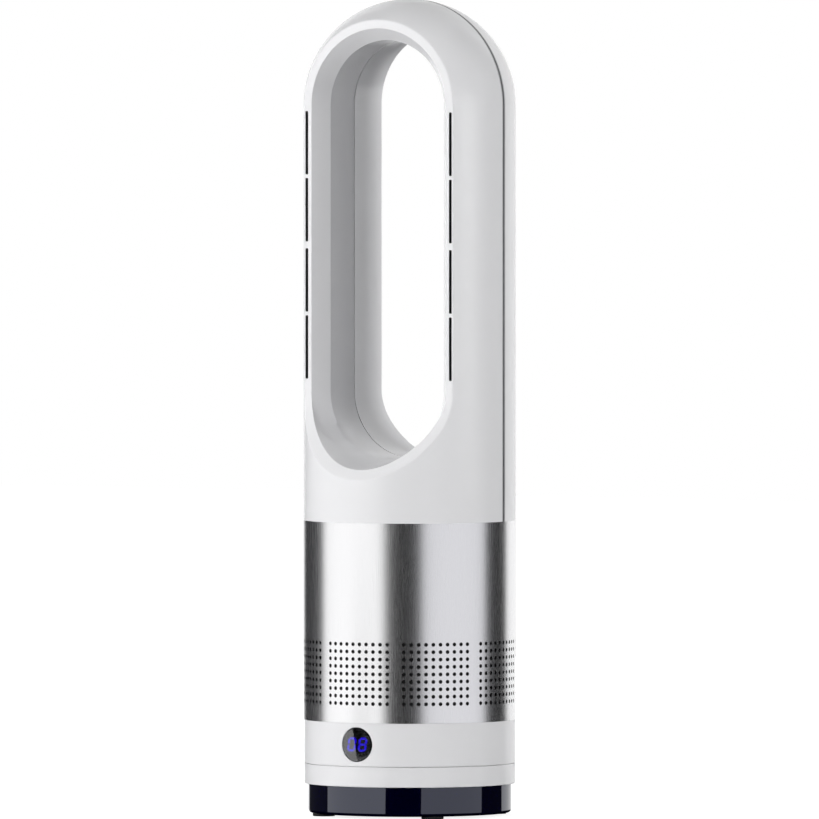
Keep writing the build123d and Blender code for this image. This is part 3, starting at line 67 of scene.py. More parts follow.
BLACK: Colour = (0.0, 0.0, 0.0)
WHITE: Colour = (1.0, 1.0, 1.0)
DUST_COLOUR: Colour = (0.55, 0.54, 0.52)
# painted shade: the dark grey that the joint of the loop's halves is shaded with
SEAM_SHADE_COLOUR: Colour = (0.1, 0.1, 0.105)
# painted shade in the perforated sleeve's holes and on its inner side
HOLE_SHADE_COLOUR: Colour = (0.004, 0.004, 0.0045)
WORN_GREY = 0.75  # what a rubbed edge turns to
WORN_SHARE = 0.35  # and how far it does


# ---------------------------------------------------------------- node trees


class Wiring:
    """A node tree with short calls that add nodes and join them."""

    SHARE, FIRST, SECOND, MIXED = 0, 6, 7, 2  # the mix node's sockets for colours

    def __init__(self, tree: bpy.types.NodeTree) -> None:
        """Takes hold of a tree and clears it."""
        self.tree = tree
        tree.nodes.clear()

    def plug(self, node: Node, key: str | int, value: object) -> None:
        """Gives an input a link or a constant.

        Args:
            node: the node with the input.
            key: the input's name or number.
            value: a socket to link from, or a plain value.
        """
        socket = node.inputs[key]
        if isinstance(value, Socket):
            self.tree.links.new(value, socket)
        elif isinstance(value, tuple) and socket.type == "RGBA":
            socket.default_value = (*value, 1.0)
        else:
            socket.default_value = value

    def add(self, kind: str, inputs: Mapping[str | int, object] | Sequence[object] = (),
            **settings: object) -> Node:
        """Adds one node.

        Args:
            kind: Blender's type name of the node.
            inputs: sockets or plain values, by the inputs' names or in the inputs' order.
            settings: attributes of the node and their values.

        Returns:
            The new node.
        """
        node = self.tree.nodes.new(kind)
        for name, value in settings.items():
            setattr(node, name, value)
        for key, value in inputs.items() if isinstance(inputs, Mapping) else enumerate(inputs):
            self.plug(node, key, value)
        return node

    def number(self, operation: str, *values: object, clamped: bool = False) -> Socket:
        """Adds a sum on numbers, which are its inputs in order."""
        return self.add("ShaderNodeMath", values, operation=operation, use_clamp=clamped).outputs[0]

    def times(self, first: object, second: object) -> Socket:
        """Adds a product."""
        return self.number("MULTIPLY", first, second)

    def less(self, first: object, second: object) -> Socket:
        """Adds a difference."""
        return self.number("SUBTRACT", first, second)

    def vector(self, x: object, y: object, z: object = 0.0) -> Socket:
        """Joins three numbers."""
        return self.add("ShaderNodeCombineXYZ", (x, y, z)).outputs[0]

    def parts(self, vector: Socket) -> Outputs:
        """Splits a vector into its X, Y and Z."""
        return self.add("ShaderNodeSeparateXYZ", (vector,)).outputs

    def length(self, vector: Socket) -> Socket:
        """Measures a vector."""
        return self.add("ShaderNodeVectorMath", (vector,), operation="LENGTH").outputs["Value"]

    def mixed(self, share: object, first: object, second: object) -> Socket:
        """Mixes two colours; the share is how much of the second there is, from 0 to 1."""
        inputs = {self.SHARE: share, self.FIRST: first, self.SECOND: second}
        return self.add("ShaderNodeMix", inputs, data_type="RGBA").outputs[self.MIXED]

    def spread(self, value: Socket, low: float, high: float, to_low: float = 0.0,
               to_high: float = 1.0) -> Socket:
        """Maps the range from low to high to another, without leaving it."""
        return self.add("ShaderNodeMapRange", (value, low, high, to_low, to_high)).outputs[0]

    def noise(self, place: Socket, scale: object, detail: object) -> Socket:
        """Adds cloudy noise over a place."""
        inputs = {"Vector": place, "Scale": scale, "Detail": detail}
        return self.add("ShaderNodeTexNoise", inputs).outputs[0]


class Effect(Enum):
    """The surface effects that several finishes share: each group's name, its inputs and its outputs."""

    GRAIN = ("fine_grain", ("Scale", "Octaves", "Contrast"), ("Height", "Tone"))
    HAIRLINES = ("brushed_hairlines", ("Across", "Along", "Contrast"), ("Height", "Tone"))
    EDGES = ("rubbed_edges", ("Scale", "Amount"), ("Mask",))
    DUST = ("settled_dust", ("Scale", "Amount"), ("Mask",))
    SEAM = ("seam_shadow", ("Depth", "Amount"), ("Mask",))


@dataclass(frozen=True)
class LoopSeam:
    """Where the loop's halves meet, and how far the painted shade of that joint reaches."""

    y: float = 3.9 * MM
    core: float = 1.2 * MM
    fade: float = 3.4 * MM
    inside_r: float = 80.0 * MM
    outside_r: float = 86.0 * MM
    foot_z: float = 255.0 * MM
    full_z: float = 264.0 * MM


SEAM = LoopSeam()


class EffectTree(Wiring):
    """The node group of one effect."""

    # where each mask begins and where it is full, and the least value that it takes, if that isn't 0
    SHARP_EDGE = (0.52, 0.62)
    RUBBED_PATCHES = (0.35, 0.65, 0.2)
    FACES_UP = (0.25, 1.0)
    DUSTY_PATCHES = (0.3, 0.7, 0.3)
    BROAD_SCALE = 0.11  # the scale of the wander under the grain, beside the grain's own
    BROAD_SHARE = 0.4
    GRAIN_LEVEL = 0.7  # the mean height of grain and wander together
    MIDDLE = 0.5

    def __init__(self, effect: Effect) -> None:
        """Makes the group's inputs and outputs, and fills it.

        Args:
            effect: which effect.
        """
        name, inputs, outputs = effect.value
        super().__init__(bpy.data.node_groups.new(name, "ShaderNodeTree"))
        face = self.tree.interface
        face.new_socket("Place", in_out="INPUT", socket_type="NodeSocketVector")
        for way, entries in (("INPUT", inputs), ("OUTPUT", outputs)):
            for entry in entries:
                face.new_socket(entry, in_out=way, socket_type="NodeSocketFloat")
        self.given = self.add("NodeGroupInput").outputs
        self.target = self.add("NodeGroupOutput")
        fill = {Effect.GRAIN: self._grain, Effect.HAIRLINES: self._hairlines, Effect.EDGES: self._edges,
                Effect.DUST: self._dust, Effect.SEAM: self._seam}
        fill[effect]()

    def _toned(self, height: Socket, level: float) -> None:
        """Puts out a height and its tone.

        Args:
            height: the height.
            level: the height whose tone is in the middle.
        """
        strong = self.times(self.less(height, level), self.given["Contrast"])
        self.plug(self.target, "Height", height)
        self.plug(self.target, "Tone", self.number("ADD", strong, self.MIDDLE, clamped=True))

    def _masked(self, first: Socket, second: Socket) -> None:
        """Puts out the product of two masks and the amount."""
        self.plug(self.target, "Mask", self.times(self.times(first, second), self.given["Amount"]))

    def _grain(self) -> None:
        """Draws fine moulded grain, with a broader wander under it."""
        fine = self.noise(self.given["Place"], self.given["Scale"], self.given["Octaves"])
        broad = self.noise(self.given["Place"], self.times(self.given["Scale"], self.BROAD_SCALE), 2.0)
        self._toned(self.number("MULTIPLY_ADD", broad, self.BROAD_SHARE, fine), self.GRAIN_LEVEL)

    def _hairlines(self) -> None:
        """Draws fine scratches on a column that stands on the Z axis."""
        parts = self.parts(self.given["Place"])
        arc = self.times(self.number("ARCTAN2", parts["X"], parts["Y"]), COLUMN_R)
        across, along = self.times(arc, self.given["Across"]), self.times(parts["Z"], self.given["Along"])
        self._toned(self.noise(self.vector(across, along), 1.0, 3.0), self.MIDDLE)

    def _edges(self) -> None:
        """Masks, in broken patches, the edges that hands and cloths rub."""
        sharp = self.spread(self.add("ShaderNodeNewGeometry").outputs["Pointiness"], *self.SHARP_EDGE)
        patches = self.noise(self.given["Place"], self.given["Scale"], 4.0)
        self._masked(sharp, self.spread(patches, *self.RUBBED_PATCHES))

    def _dust(self) -> None:
        """Masks what faces up with a thin uneven veil."""
        normal = self.parts(self.add("ShaderNodeNewGeometry").outputs["Normal"])
        patches = self.noise(self.given["Place"], self.given["Scale"], 6.0)
        self._masked(self.spread(normal["Z"], *self.FACES_UP), self.spread(patches, *self.DUSTY_PATCHES))

    def _seam(self) -> None:
        """Masks the joint on the outside of the loop for painted shade, which stands for the shading of the
        shells' rounded edges and the gap between them.
        """
        parts = self.parts(self.given["Place"])
        away = self.number("ABSOLUTE", self.less(parts["Y"], self.given["Depth"]))
        joint = self.spread(away, SEAM.core, SEAM.fade, 1.0, 0.0)
        over_bend = self.number("MAXIMUM", self.less(parts["Z"], BEND_Z), 0.0)
        reach = self.length(self.vector(parts["X"], over_bend))
        outside = self.spread(reach, SEAM.inside_r, SEAM.outside_r)
        self._masked(joint, self.times(outside, self.spread(parts["Z"], SEAM.foot_z, SEAM.full_z)))


class Surface(Wiring):
    """A material's tree: one Principled shader, patterned over the Object coordinates."""

    effects: ClassVar[dict[Effect, EffectTree]] = {}

    def __init__(self, slot: str, colour: Colour) -> None:
        """Opens the material of a slot.

        Args:
            slot: the record's material slot.
            colour: the material's plain colour in a viewport.
        """
        material = bpy.data.materials.get(slot) or bpy.data.materials.new(slot)
        material.use_nodes = True
        material.diffuse_color = (*colour, 1.0)
        super().__init__(material.node_tree)
        self.shader = self.add("ShaderNodeBsdfPrincipled")
        self.add("ShaderNodeOutputMaterial", {"Surface": self.shader.outputs[0]})
        self.place = self.add("ShaderNodeTexCoord").outputs["Object"]

    def effect(self, effect: Effect, **values: object) -> Outputs:
        """Puts a shared effect in the material, and builds it if nothing has used it yet.

        Args:
            effect: which effect.
            values: its inputs by name.

        Returns:
            The effect's outputs.
        """
        if effect not in self.effects:
            self.effects[effect] = EffectTree(effect)
        inputs = {"Place": self.place, **values}
        return self.add("ShaderNodeGroup", inputs, node_tree=self.effects[effect].tree).outputs

    def relief(self, height: Socket, depth: float) -> Socket:
        """Turns a height from 0 to 1 into a normal, for a relief of that depth."""
        return self.add("ShaderNodeBump", {"Strength": 1.0, "Distance": depth, "Height": height}).outputs[0]

    def wear(self, inputs: Mapping[str, object]) -> None:
        """Gives the shader its inputs by name."""
        for name, value in inputs.items():
            self.plug(self.shader, name, value)


# ---------------------------------------------------------------- finishes


class Lay(Enum):
    """Which way a metal's hairlines run on the standing column, as their scales across and along it."""

    UPRIGHT = (9000.0, 25.0)
    ROUND = (25.0, 9000.0)
    CAST = (2500.0, 2500.0)


def shaded(colour: Colour, strength: float) -> Colour:
    """Makes a colour darker or brighter."""
    return tuple(min(1.0, part * strength) for part in colour)


@dataclass(frozen=True)
class Finish:
    """What every finish has: its slot's name, its colour and how rough it is."""

    slot: str
    colour: Colour
    roughness: float

    def opened(self) -> Surface:
        """Opens the slot's material."""
        return Surface(self.slot, self.colour)

    def rough(self, surface: Surface, tone: Socket, wander: float) -> Socket:
        """Lets the roughness wander with a tone, by so much to each side."""
        return surface.spread(tone, 0.0, 1.0, self.roughness - wander, self.roughness + wander)

    def dress(self) -> None:
        """Builds the finish's material; each kind of finish has its own."""
        raise NotImplementedError(self.slot)


@dataclass(frozen=True)
class Moulded(Finish):
    """Moulded plastic, rubber or lacquer, with its grain, rubbed edges and dust, and painted shade along the
    loop's joint where asked.
    """

    wander: float = 0.04
    grain: float = 1400.0
    depth: float = 2e-6
    drift: float = 0.03
    rubbed: float = 0.15
    dust: float = 0.05
    ior: float = 1.5
    sheen_tint: Colour = WHITE
    # how much painted shade the loop's joint gets
    seam_shade: float = 0.0

    def dress(self) -> None:
        """Builds the material in the slot."""
        surface = self.opened()
        fine = surface.effect(Effect.GRAIN, Scale=self.grain, Octaves=2.0, Contrast=2.2)
        broad = surface.effect(Effect.GRAIN, Scale=45.0, Octaves=3.0, Contrast=2.0)
        edges = surface.effect(Effect.EDGES, Scale=320.0, Amount=self.rubbed)
        dust = surface.effect(Effect.DUST, Scale=700.0, Amount=self.dust)
        worn = tuple(part + (WORN_GREY - part) * WORN_SHARE for part in self.colour)
        deep, bright = shaded(self.colour, 1.0 - self.drift), shaded(self.colour, 1.0 + self.drift)
        base = surface.mixed(broad["Tone"], deep, bright)
        base = surface.mixed(edges["Mask"], base, worn)
        base = surface.mixed(dust["Mask"], base, DUST_COLOUR)
        # painted shade along the joint of the loop's halves, which stands for the shading of their rounded
        # edges and the gap
        if self.seam_shade:
            gap = surface.effect(Effect.SEAM, Depth=SEAM.y, Amount=self.seam_shade)
            base = surface.mixed(gap["Mask"], base, SEAM_SHADE_COLOUR)
        surface.wear({"Base Color": base, "Roughness": self.rough(surface, fine["Tone"], self.wander),
                      "Normal": surface.relief(fine["Height"], self.depth), "IOR": self.ior,
                      "Specular Tint": self.sheen_tint})


@dataclass(frozen=True)
class Metal(Finish):
    """Uncoated metal with hairlines or a cast grain; nearer to the axis than the shade radius it is painted
    near black, as painted shade in the sleeve's holes and on its inner side.
    """

    lay: Lay = Lay.CAST
    wander: float = 0.05
    depth: float = 1.5e-6
    drift: float = 0.06
    stain: Colour = (0.4, 0.4, 0.42)
    stained: float = 0.1
    # where the painted shade of the holes begins, and how wide its edge fades
    hole_shade_r: float = 0.0
    hole_shade_edge: float = 0.1 * MM

    def dress(self) -> None:
        """Builds the material in the slot."""
        surface = self.opened()
        across, along = self.lay.value
        lines = surface.effect(Effect.HAIRLINES, Across=across, Along=along, Contrast=2.4)
        broad = surface.effect(Effect.GRAIN, Scale=60.0, Octaves=4.0, Contrast=1.8)
        edges = surface.effect(Effect.EDGES, Scale=500.0, Amount=0.3)
        bright = shaded(self.colour, 1.0 + self.drift * 0.5)
        base = surface.mixed(lines["Tone"], shaded(self.colour, 1.0 - self.drift), bright)
        base = surface.mixed(surface.spread(broad["Tone"], 0.5, 1.0, 0.0, self.stained), base, self.stain)
        base = surface.mixed(edges["Mask"], base, bright)
        # painted shade: the hole walls and the inner side turn near black, standing for the shade inside the
        # holes
        if self.hole_shade_r:
            parts = surface.parts(surface.place)
            from_axis = surface.length(surface.vector(parts["X"], parts["Y"]))
            unshaded = surface.spread(from_axis, self.hole_shade_r, self.hole_shade_r + self.hole_shade_edge)
            base = surface.mixed(unshaded, HOLE_SHADE_COLOUR, base)
        surface.wear({"Base Color": base, "Metallic": 1.0,
                      "Roughness": self.rough(surface, lines["Tone"], self.wander),
                      "Normal": surface.relief(lines["Height"], self.depth)})


@dataclass(frozen=True)
class SmokedLens(Finish):
    """Dark clear plastic that the digits shine through, with faint smears on it."""

    depth: float = 2e-7
    smeared: float = 0.9

    def dress(self) -> None:
        """Builds the material in the slot."""
        surface = self.opened()
        smears = surface.effect(Effect.GRAIN, Scale=160.0, Octaves=5.0, Contrast=2.5)
        base = surface.mixed(smears["Tone"], shaded(self.colour, self.smeared), self.colour)
        surface.wear({"Base Color": base, "Transmission Weight": 1.0, "IOR": 1.5,
                      "Roughness": self.rough(surface, smears["Tone"], self.roughness * 0.5),
                      "Normal": surface.relief(smears["Height"], self.depth)})


@dataclass(frozen=True)
class LitSegments(Finish):
    """Light guides of the digits, with a faint cloudy glow."""

    second: Colour = (0.02, 0.02, 0.05)
    glow: Colour = (0.02, 0.0, 1.0)
    strength: float = 6.0
    dimmed: float = 0.72
    wander: float = 0.05

    def dress(self) -> None:
        """Builds the material in the slot."""
        surface = self.opened()
        tone = surface.effect(Effect.GRAIN, Scale=900.0, Octaves=2.0, Contrast=1.6)["Tone"]
        surface.wear({"Base Color": surface.mixed(tone, self.second, self.colour),
                      "Emission Color": surface.mixed(tone, shaded(self.glow, self.dimmed), self.glow),
                      "Emission Strength": self.strength,
                      "Roughness": self.rough(surface, tone, self.wander)})


@dataclass(frozen=True)
class Striped(Finish):
    """Stacked sheets or wound wire: fine stripes across one axis."""

    second: Colour = (0.1, 0.1, 0.1)
    pitch: float = 0.5 * MM
    unevenness: float = 0.4
    metallic: float = 1.0
    depth: float = 6e-5
    wander: float = 0.08
    spotted: float = 0.25

    def dress(self) -> None:
        """Builds the material in the slot."""
        surface = self.opened()
        stripe = {"Vector": surface.place, "Scale": math.tau / WAVE_SPEED / self.pitch,
                  "Distortion": self.unevenness}
        bands = surface.add("ShaderNodeTexWave", stripe, bands_direction="Z").outputs["Fac"]
        tone = surface.effect(Effect.GRAIN, Scale=1800.0, Octaves=3.0, Contrast=2.0)["Tone"]
        base = surface.mixed(bands, self.second, self.colour)
        base = surface.mixed(surface.spread(tone, 0.0, 1.0, 0.0, self.spotted), base, self.second)
        surface.wear({"Base Color": base, "Metallic": self.metallic,
                      "Roughness": self.rough(surface, tone, self.wander),
                      "Normal": surface.relief(bands, self.depth)})


@dataclass(frozen=True)
class Celled(Finish):
    """Open foam, or a board's lacquer with its tracks: cells with darker or lighter walls."""

    second: Colour = (0.1, 0.1, 0.1)
    cells: float = 900.0
    wall: float = 0.08
    depth: float = 2e-4
    wander: float = 0.08

    def dress(self) -> None:
        """Builds the material in the slot."""
        surface = self.opened()
        cell = {"Vector": surface.place, "Scale": self.cells}
        away = surface.add("ShaderNodeTexVoronoi", cell, feature="DISTANCE_TO_EDGE").outputs["Distance"]
        inside = surface.spread(away, self.wall * 0.5, self.wall)
        tone = surface.effect(Effect.GRAIN, Scale=self.cells * 2.0, Octaves=2.0, Contrast=2.0)["Tone"]
        surface.wear({"Base Color": surface.mixed(inside, self.colour, self.second),
                      "Roughness": self.rough(surface, tone, self.wander),
                      "Normal": surface.relief(surface.less(1.0, inside), self.depth)})


# ---------------------------------------------------------------- meshes


def stood(name: str, mesh: Mesh, slot: str, body: str, node: str | None = None) -> Piece:
    """Makes a finished mesh a piece on its body.

    Args:
        name: the piece's name.
        mesh: its mesh, already in place.
        slot: the record's material slot.
        body: the body that it rides on.
        node: the CAD node that it stands for, if there is one.

    Returns:
        The piece.
    """
    mesh.name = name
    mesh.materials.clear()
    mesh.materials.append(bpy.data.materials[slot])
    piece = bpy.data.objects.new(name, mesh)
    bpy.context.scene.collection.objects.link(piece)
    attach(piece, body)
    if node:
        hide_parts(node)
    log.info("%s stands for %s on %s, %d faces", name, node or "a detail", body, len(mesh.polygons))
    return piece


def drawn(name: str, points: Sequence[Sequence[float]], faces: Sequence[Sequence[int]]) -> Mesh:
    """Makes a mesh of corners and faces.

    Args:
        name: the mesh's name.
        points: its corners.
        faces: its faces, as numbers of corners.

    Returns:
        The mesh.
    """
    mesh = bpy.data.meshes.new(name)
    mesh.from_pydata([tuple(point) for point in points], [], faces)
    return mesh


def circle(radius: float, count: int) -> list[tuple[float, float]]:
    """Lists points round the origin, counter-clockwise from +X."""
    turns = [math.tau * k / count for k in range(count)]
    return [(radius * math.cos(turn), radius * math.sin(turn)) for turn in turns]


def faced(rows: np.ndarray) -> np.ndarray:
    """Scales vectors, one in each row, to length one."""
    length = np.linalg.norm(rows, axis=1, keepdims=True)
    return rows / np.where(length < LEAST_LENGTH, 1.0, length)


def column(rows: bpy.types.bpy_prop_collection, name: str, kind: type = float, width: int = 1) -> np.ndarray:
    """Reads one property of every row.

    Args:
        rows: the mesh's vertices, corners or faces.
        name: the property.
        kind: what its numbers are.
        width: how many numbers each row has.

    Returns:
        One number or one vector for each row.
    """
    values = np.zeros(len(rows) * width, kind)
    rows.foreach_get(name, values)
    return values.reshape(-1, width) if width > 1 else values


class Corners:
    """The corners of a mesh's faces as arrays, with the faces that they belong to."""

    def __init__(self, mesh: Mesh) -> None:
        """Reads a mesh.

        Args:
            mesh: the mesh.
        """
        self.mesh = mesh
        self.vertex = column(mesh.loops, "vertex_index", np.int64)
        self.place = column(mesh.vertices, "co", width=3)[self.vertex]
        self.flat = column(mesh.polygons, "normal", width=3)
        self.area = column(mesh.polygons, "area")
        self.count = column(mesh.polygons, "loop_total", np.int64)
        self.owner = np.repeat(np.arange(len(self.count)), self.count)
        self.own = self.flat[self.owner]

    def radial(self) -> np.ndarray:
        """Points straight away from the Z axis or at it, to the side that each corner's face looks.

        Returns:
            A direction for each corner.
        """
        ways = faced(self.place * np.array([1.0, 1.0, 0.0]))
        ways[(ways * self.own).sum(1) < 0] *= -1.0
        return ways

    def shade(self, normals: np.ndarray) -> None:
        """Gives each corner a normal of its own.

        Args:
            normals: a normal for each corner.
        """
        self.mesh.polygons.foreach_set("use_smooth", [True] * len(self.count))
        self.mesh.normals_split_custom_set(normals.tolist())
        self.mesh.update()


class EvenSkin:
    """A merged copy of a CAD node whose corners get true normals.

    A corner's normal is the mean of the faces round it that bend less than the crease from its own,
    weighed by their areas. On an upright cylinder and on the loop's round top it is the exact one.
    """

    LEVEL = 1e-3  # the most that an upright face's normal rises
    LEAST_R = 5.0 * MM
    LEAST_HEIGHT = 1e-5
    SAME_RADIUS = 3e-6
    ALONG_RADIUS = 0.95  # cosine of the most that a facet of a cylinder may lean from it
    ALONG_BALL = 0.97

    def __init__(self, node: str, crease: float, round_top: bool) -> None:
        """Copies and merges the node's mesh.

        Args:
            node: the CAD node.
            crease: bends above this many degrees stay sharp.
            round_top: whether the node has the round top of the loop.
        """
        self.limit = math.cos(math.radians(crease))
        self.round_top = round_top
        mesh = bpy.data.meshes.new(node)
        shape = bmesh.new()
        shape.from_mesh(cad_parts[node].data)
        bmesh.ops.remove_doubles(shape, verts=shape.verts, dist=SAME_PLACE)
        bmesh.ops.dissolve_degenerate(shape, edges=shape.edges, dist=SAME_PLACE / 2)
        bmesh.ops.triangulate(shape, faces=shape.faces)
        shape.to_mesh(mesh)
        shape.free()
        for name in {"custom_normal", "sharp_face"} & set(mesh.attributes.keys()):
            mesh.attributes.remove(mesh.attributes[name])
        self.corners = Corners(mesh)

    def finished(self) -> Mesh:
        """Sets the normals.

        Returns:
            The mesh, with a normal of its own at each corner.
        """
        normals = self._averaged()
        self._set_round(normals)
        if self.round_top:
            self._set_ball(normals)
        self.corners.shade(normals)
        return self.corners.mesh

    def _averaged(self) -> np.ndarray:
        """Means the faces round each corner.

        Returns:
            A normal for each corner.
        """
        corners = self.corners
        order = np.argsort(corners.vertex, kind="stable")
        breaks = np.flatnonzero(np.diff(corners.vertex[order])) + 1
        normals = np.zeros((len(order), 3))
        for group in np.split(order, breaks):
            own = corners.own[group]
            near = (own @ own.T) > self.limit
            normals[group] = (near * corners.area[corners.owner[group]]) @ own
        return faced(normals)

    def _set_round(self, normals: np.ndarray) -> None:
        """Puts the exact normal where the surface is an upright cylinder.

        Args:
            normals: the corners' normals, which it changes.
        """
        corners = self.corners
        radius = np.hypot(corners.place[:, 0], corners.place[:, 1]).reshape(-1, 3)
        height = corners.place[:, 2].reshape(-1, 3)
        upright = np.abs(corners.flat[:, 2]) < self.LEVEL
        same = (np.ptp(radius, axis=1) < self.SAME_RADIUS) & (radius.mean(1) > self.LEAST_R)
        tall = np.ptp(height, axis=1) > self.LEAST_HEIGHT
        radial = corners.radial()
        along = np.abs((radial * corners.own).sum(1)) > self.ALONG_RADIUS
        chosen = np.repeat(upright & same & tall, 3) & along
        normals[chosen] = radial[chosen]

    def _set_ball(self, normals: np.ndarray) -> None:
        """Puts the exact normal on the loop's round top, which is a part of a ball.

        Args:
            normals: the corners' normals, which it changes.
        """
        off = self.corners.place - np.array([0.0, 0.0, BEND_Z])
        away = np.linalg.norm(off, axis=1)
        on_ball = (np.abs(away - COLUMN_R) < ON_SKIN) & (off[:, 2] > -self.LEAST_HEIGHT)
        ball = faced(off)
        along = (ball * self.corners.own).sum(1) > self.ALONG_BALL
        chosen = np.repeat(on_ball.reshape(-1, 3).all(1), 3) & along
        normals[chosen] = ball[chosen]


class Grower(Wiring):
    """A Geometry Nodes modifier with named sizes that is turned into a plain mesh."""

    def __init__(self, name: str, seed: Mesh) -> None:
        """Starts an empty tree on a carrier object.

        Args:
            name: the piece's name.
            seed: the mesh that the tree repeats.
        """
        super().__init__(bpy.data.node_groups.new(name, "GeometryNodeTree"))
        self.name = name
        self.values: dict[str, object] = {}
        for way in ("INPUT", "OUTPUT"):
            self.tree.interface.new_socket("Geometry", in_out=way, socket_type="NodeSocketGeometry")
        self.source, self.target = self.add("NodeGroupInput"), self.add("NodeGroupOutput")
        self.carrier = bpy.data.objects.new(name + "_carrier", seed)
        bpy.context.scene.collection.objects.link(self.carrier)

    @property
    def seed(self) -> Socket:
        """The mesh that the tree repeats."""
        return self.source.outputs["Geometry"]

    def size(self, name: str, value: float | int | bpy.types.Material) -> Socket:
        """Adds a named input and keeps its value.

        Args:
            name: the input's name.
            value: a length, a count or a material.

        Returns:
            The input's socket inside the tree.
        """
        kind = {int: "Int", float: "Float"}.get(type(value), "Material")
        self.tree.interface.new_socket(name, in_out="INPUT", socket_type="NodeSocket" + kind)
        self.values[name] = value
        return self.source.outputs[name]

    def grid(self, size_x: object, size_y: object, count_x: object, count_y: object) -> Socket:
        """Adds a flat grid round the origin, by its lengths and its counts of corners."""
        return self.add("GeometryNodeMeshGrid", (size_x, size_y, count_x, count_y)).outputs["Mesh"]

    def row(self, count: Socket, start: Socket, step: Socket) -> Socket:
        """Adds a row of points, by their count, the first place and the way to the next."""
        inputs = {"Count": count, "Start Location": start, "Offset": step}
        return self.add("GeometryNodeMeshLine", inputs).outputs["Mesh"]

    def moved(self, shape: Socket, place: object = (0.0, 0.0, 0.0), turn: Trio = (0.0, 0.0, 0.0)) -> Socket:
        """Adds a move to a place, after a turn in degrees about X, Y and Z."""
        inputs = {"Geometry": shape, "Translation": place, "Rotation": tuple(map(math.radians, turn))}
        return self.add("GeometryNodeTransform", inputs).outputs[0]

    def spread_on(self, points: Socket, shape: Socket) -> Socket:
        """Puts a copy of a shape on each point."""
        return self.add("GeometryNodeInstanceOnPoints", {"Points": points, "Instance": shape}).outputs[0]

    def real(self, shape: Socket) -> Socket:
        """Makes copies plain geometry."""
        return self.add("GeometryNodeRealizeInstances", (shape,)).outputs[0]

    def joined(self, *shapes: Socket) -> Socket:
        """Joins shapes.

        Args:
            shapes: what is joined.

        Returns:
            The joined shape's socket.
        """
        node = self.add("GeometryNodeJoinGeometry")
        for shape in shapes:
            self.tree.links.new(shape, node.inputs[0])
        return node.outputs[0]

    def grown(self, shape: Socket, slot: str) -> Mesh:
        """Ends the tree, sets its inputs and turns the result into a plain mesh.

        Args:
            shape: the finished shape.
            slot: the slot of the material that it wears.

        Returns:
            The plain mesh.
        """
        material = self.size("Finish", bpy.data.materials[slot])
        dressed = self.add("GeometryNodeSetMaterial", {"Geometry": self.real(shape), "Material": material})
        self.plug(self.target, 0, dressed.outputs[0])
        modifier = self.carrier.modifiers.new(self.name, "NODES")
        modifier.node_group = self.tree
        for item in self.tree.interface.items_tree:
            if item.in_out == "INPUT" and item.name in self.values:
                modifier[item.identifier] = self.values[item.name]
        graph = bpy.context.evaluated_depsgraph_get()
        mesh = bpy.data.meshes.new_from_object(self.carrier.evaluated_get(graph), depsgraph=graph)
        self.carrier.modifiers.remove(modifier)
        bpy.data.objects.remove(self.carrier)
        return mesh


# ---------------------------------------------------------------- sub-assemblies


@dataclass
class SubAssembly:
    """A group of pieces that are built and dressed together."""

    body: str = "tower"
    finishes: ClassVar[tuple[Finish, ...]] = ()

    def dress(self) -> None:
        """Builds the material of each of its finishes."""
        for finish in self.finishes:
            finish.dress()
            log.info("finish %s is ready", finish.slot)

    def build(self) -> list[Piece]:
        """Builds the pieces that have more detail than their CAD nodes."""
        return []

    def skinned(self, node: str, slot: str, crease: float = 30.0, round_top: bool = False) -> Piece:
        """Stands an even copy in for a CAD node, with bends above the crease's degrees left sharp."""
        mesh = EvenSkin(node, crease, round_top).finished()
        return stood(node + "_skin", mesh, slot, self.body, node)


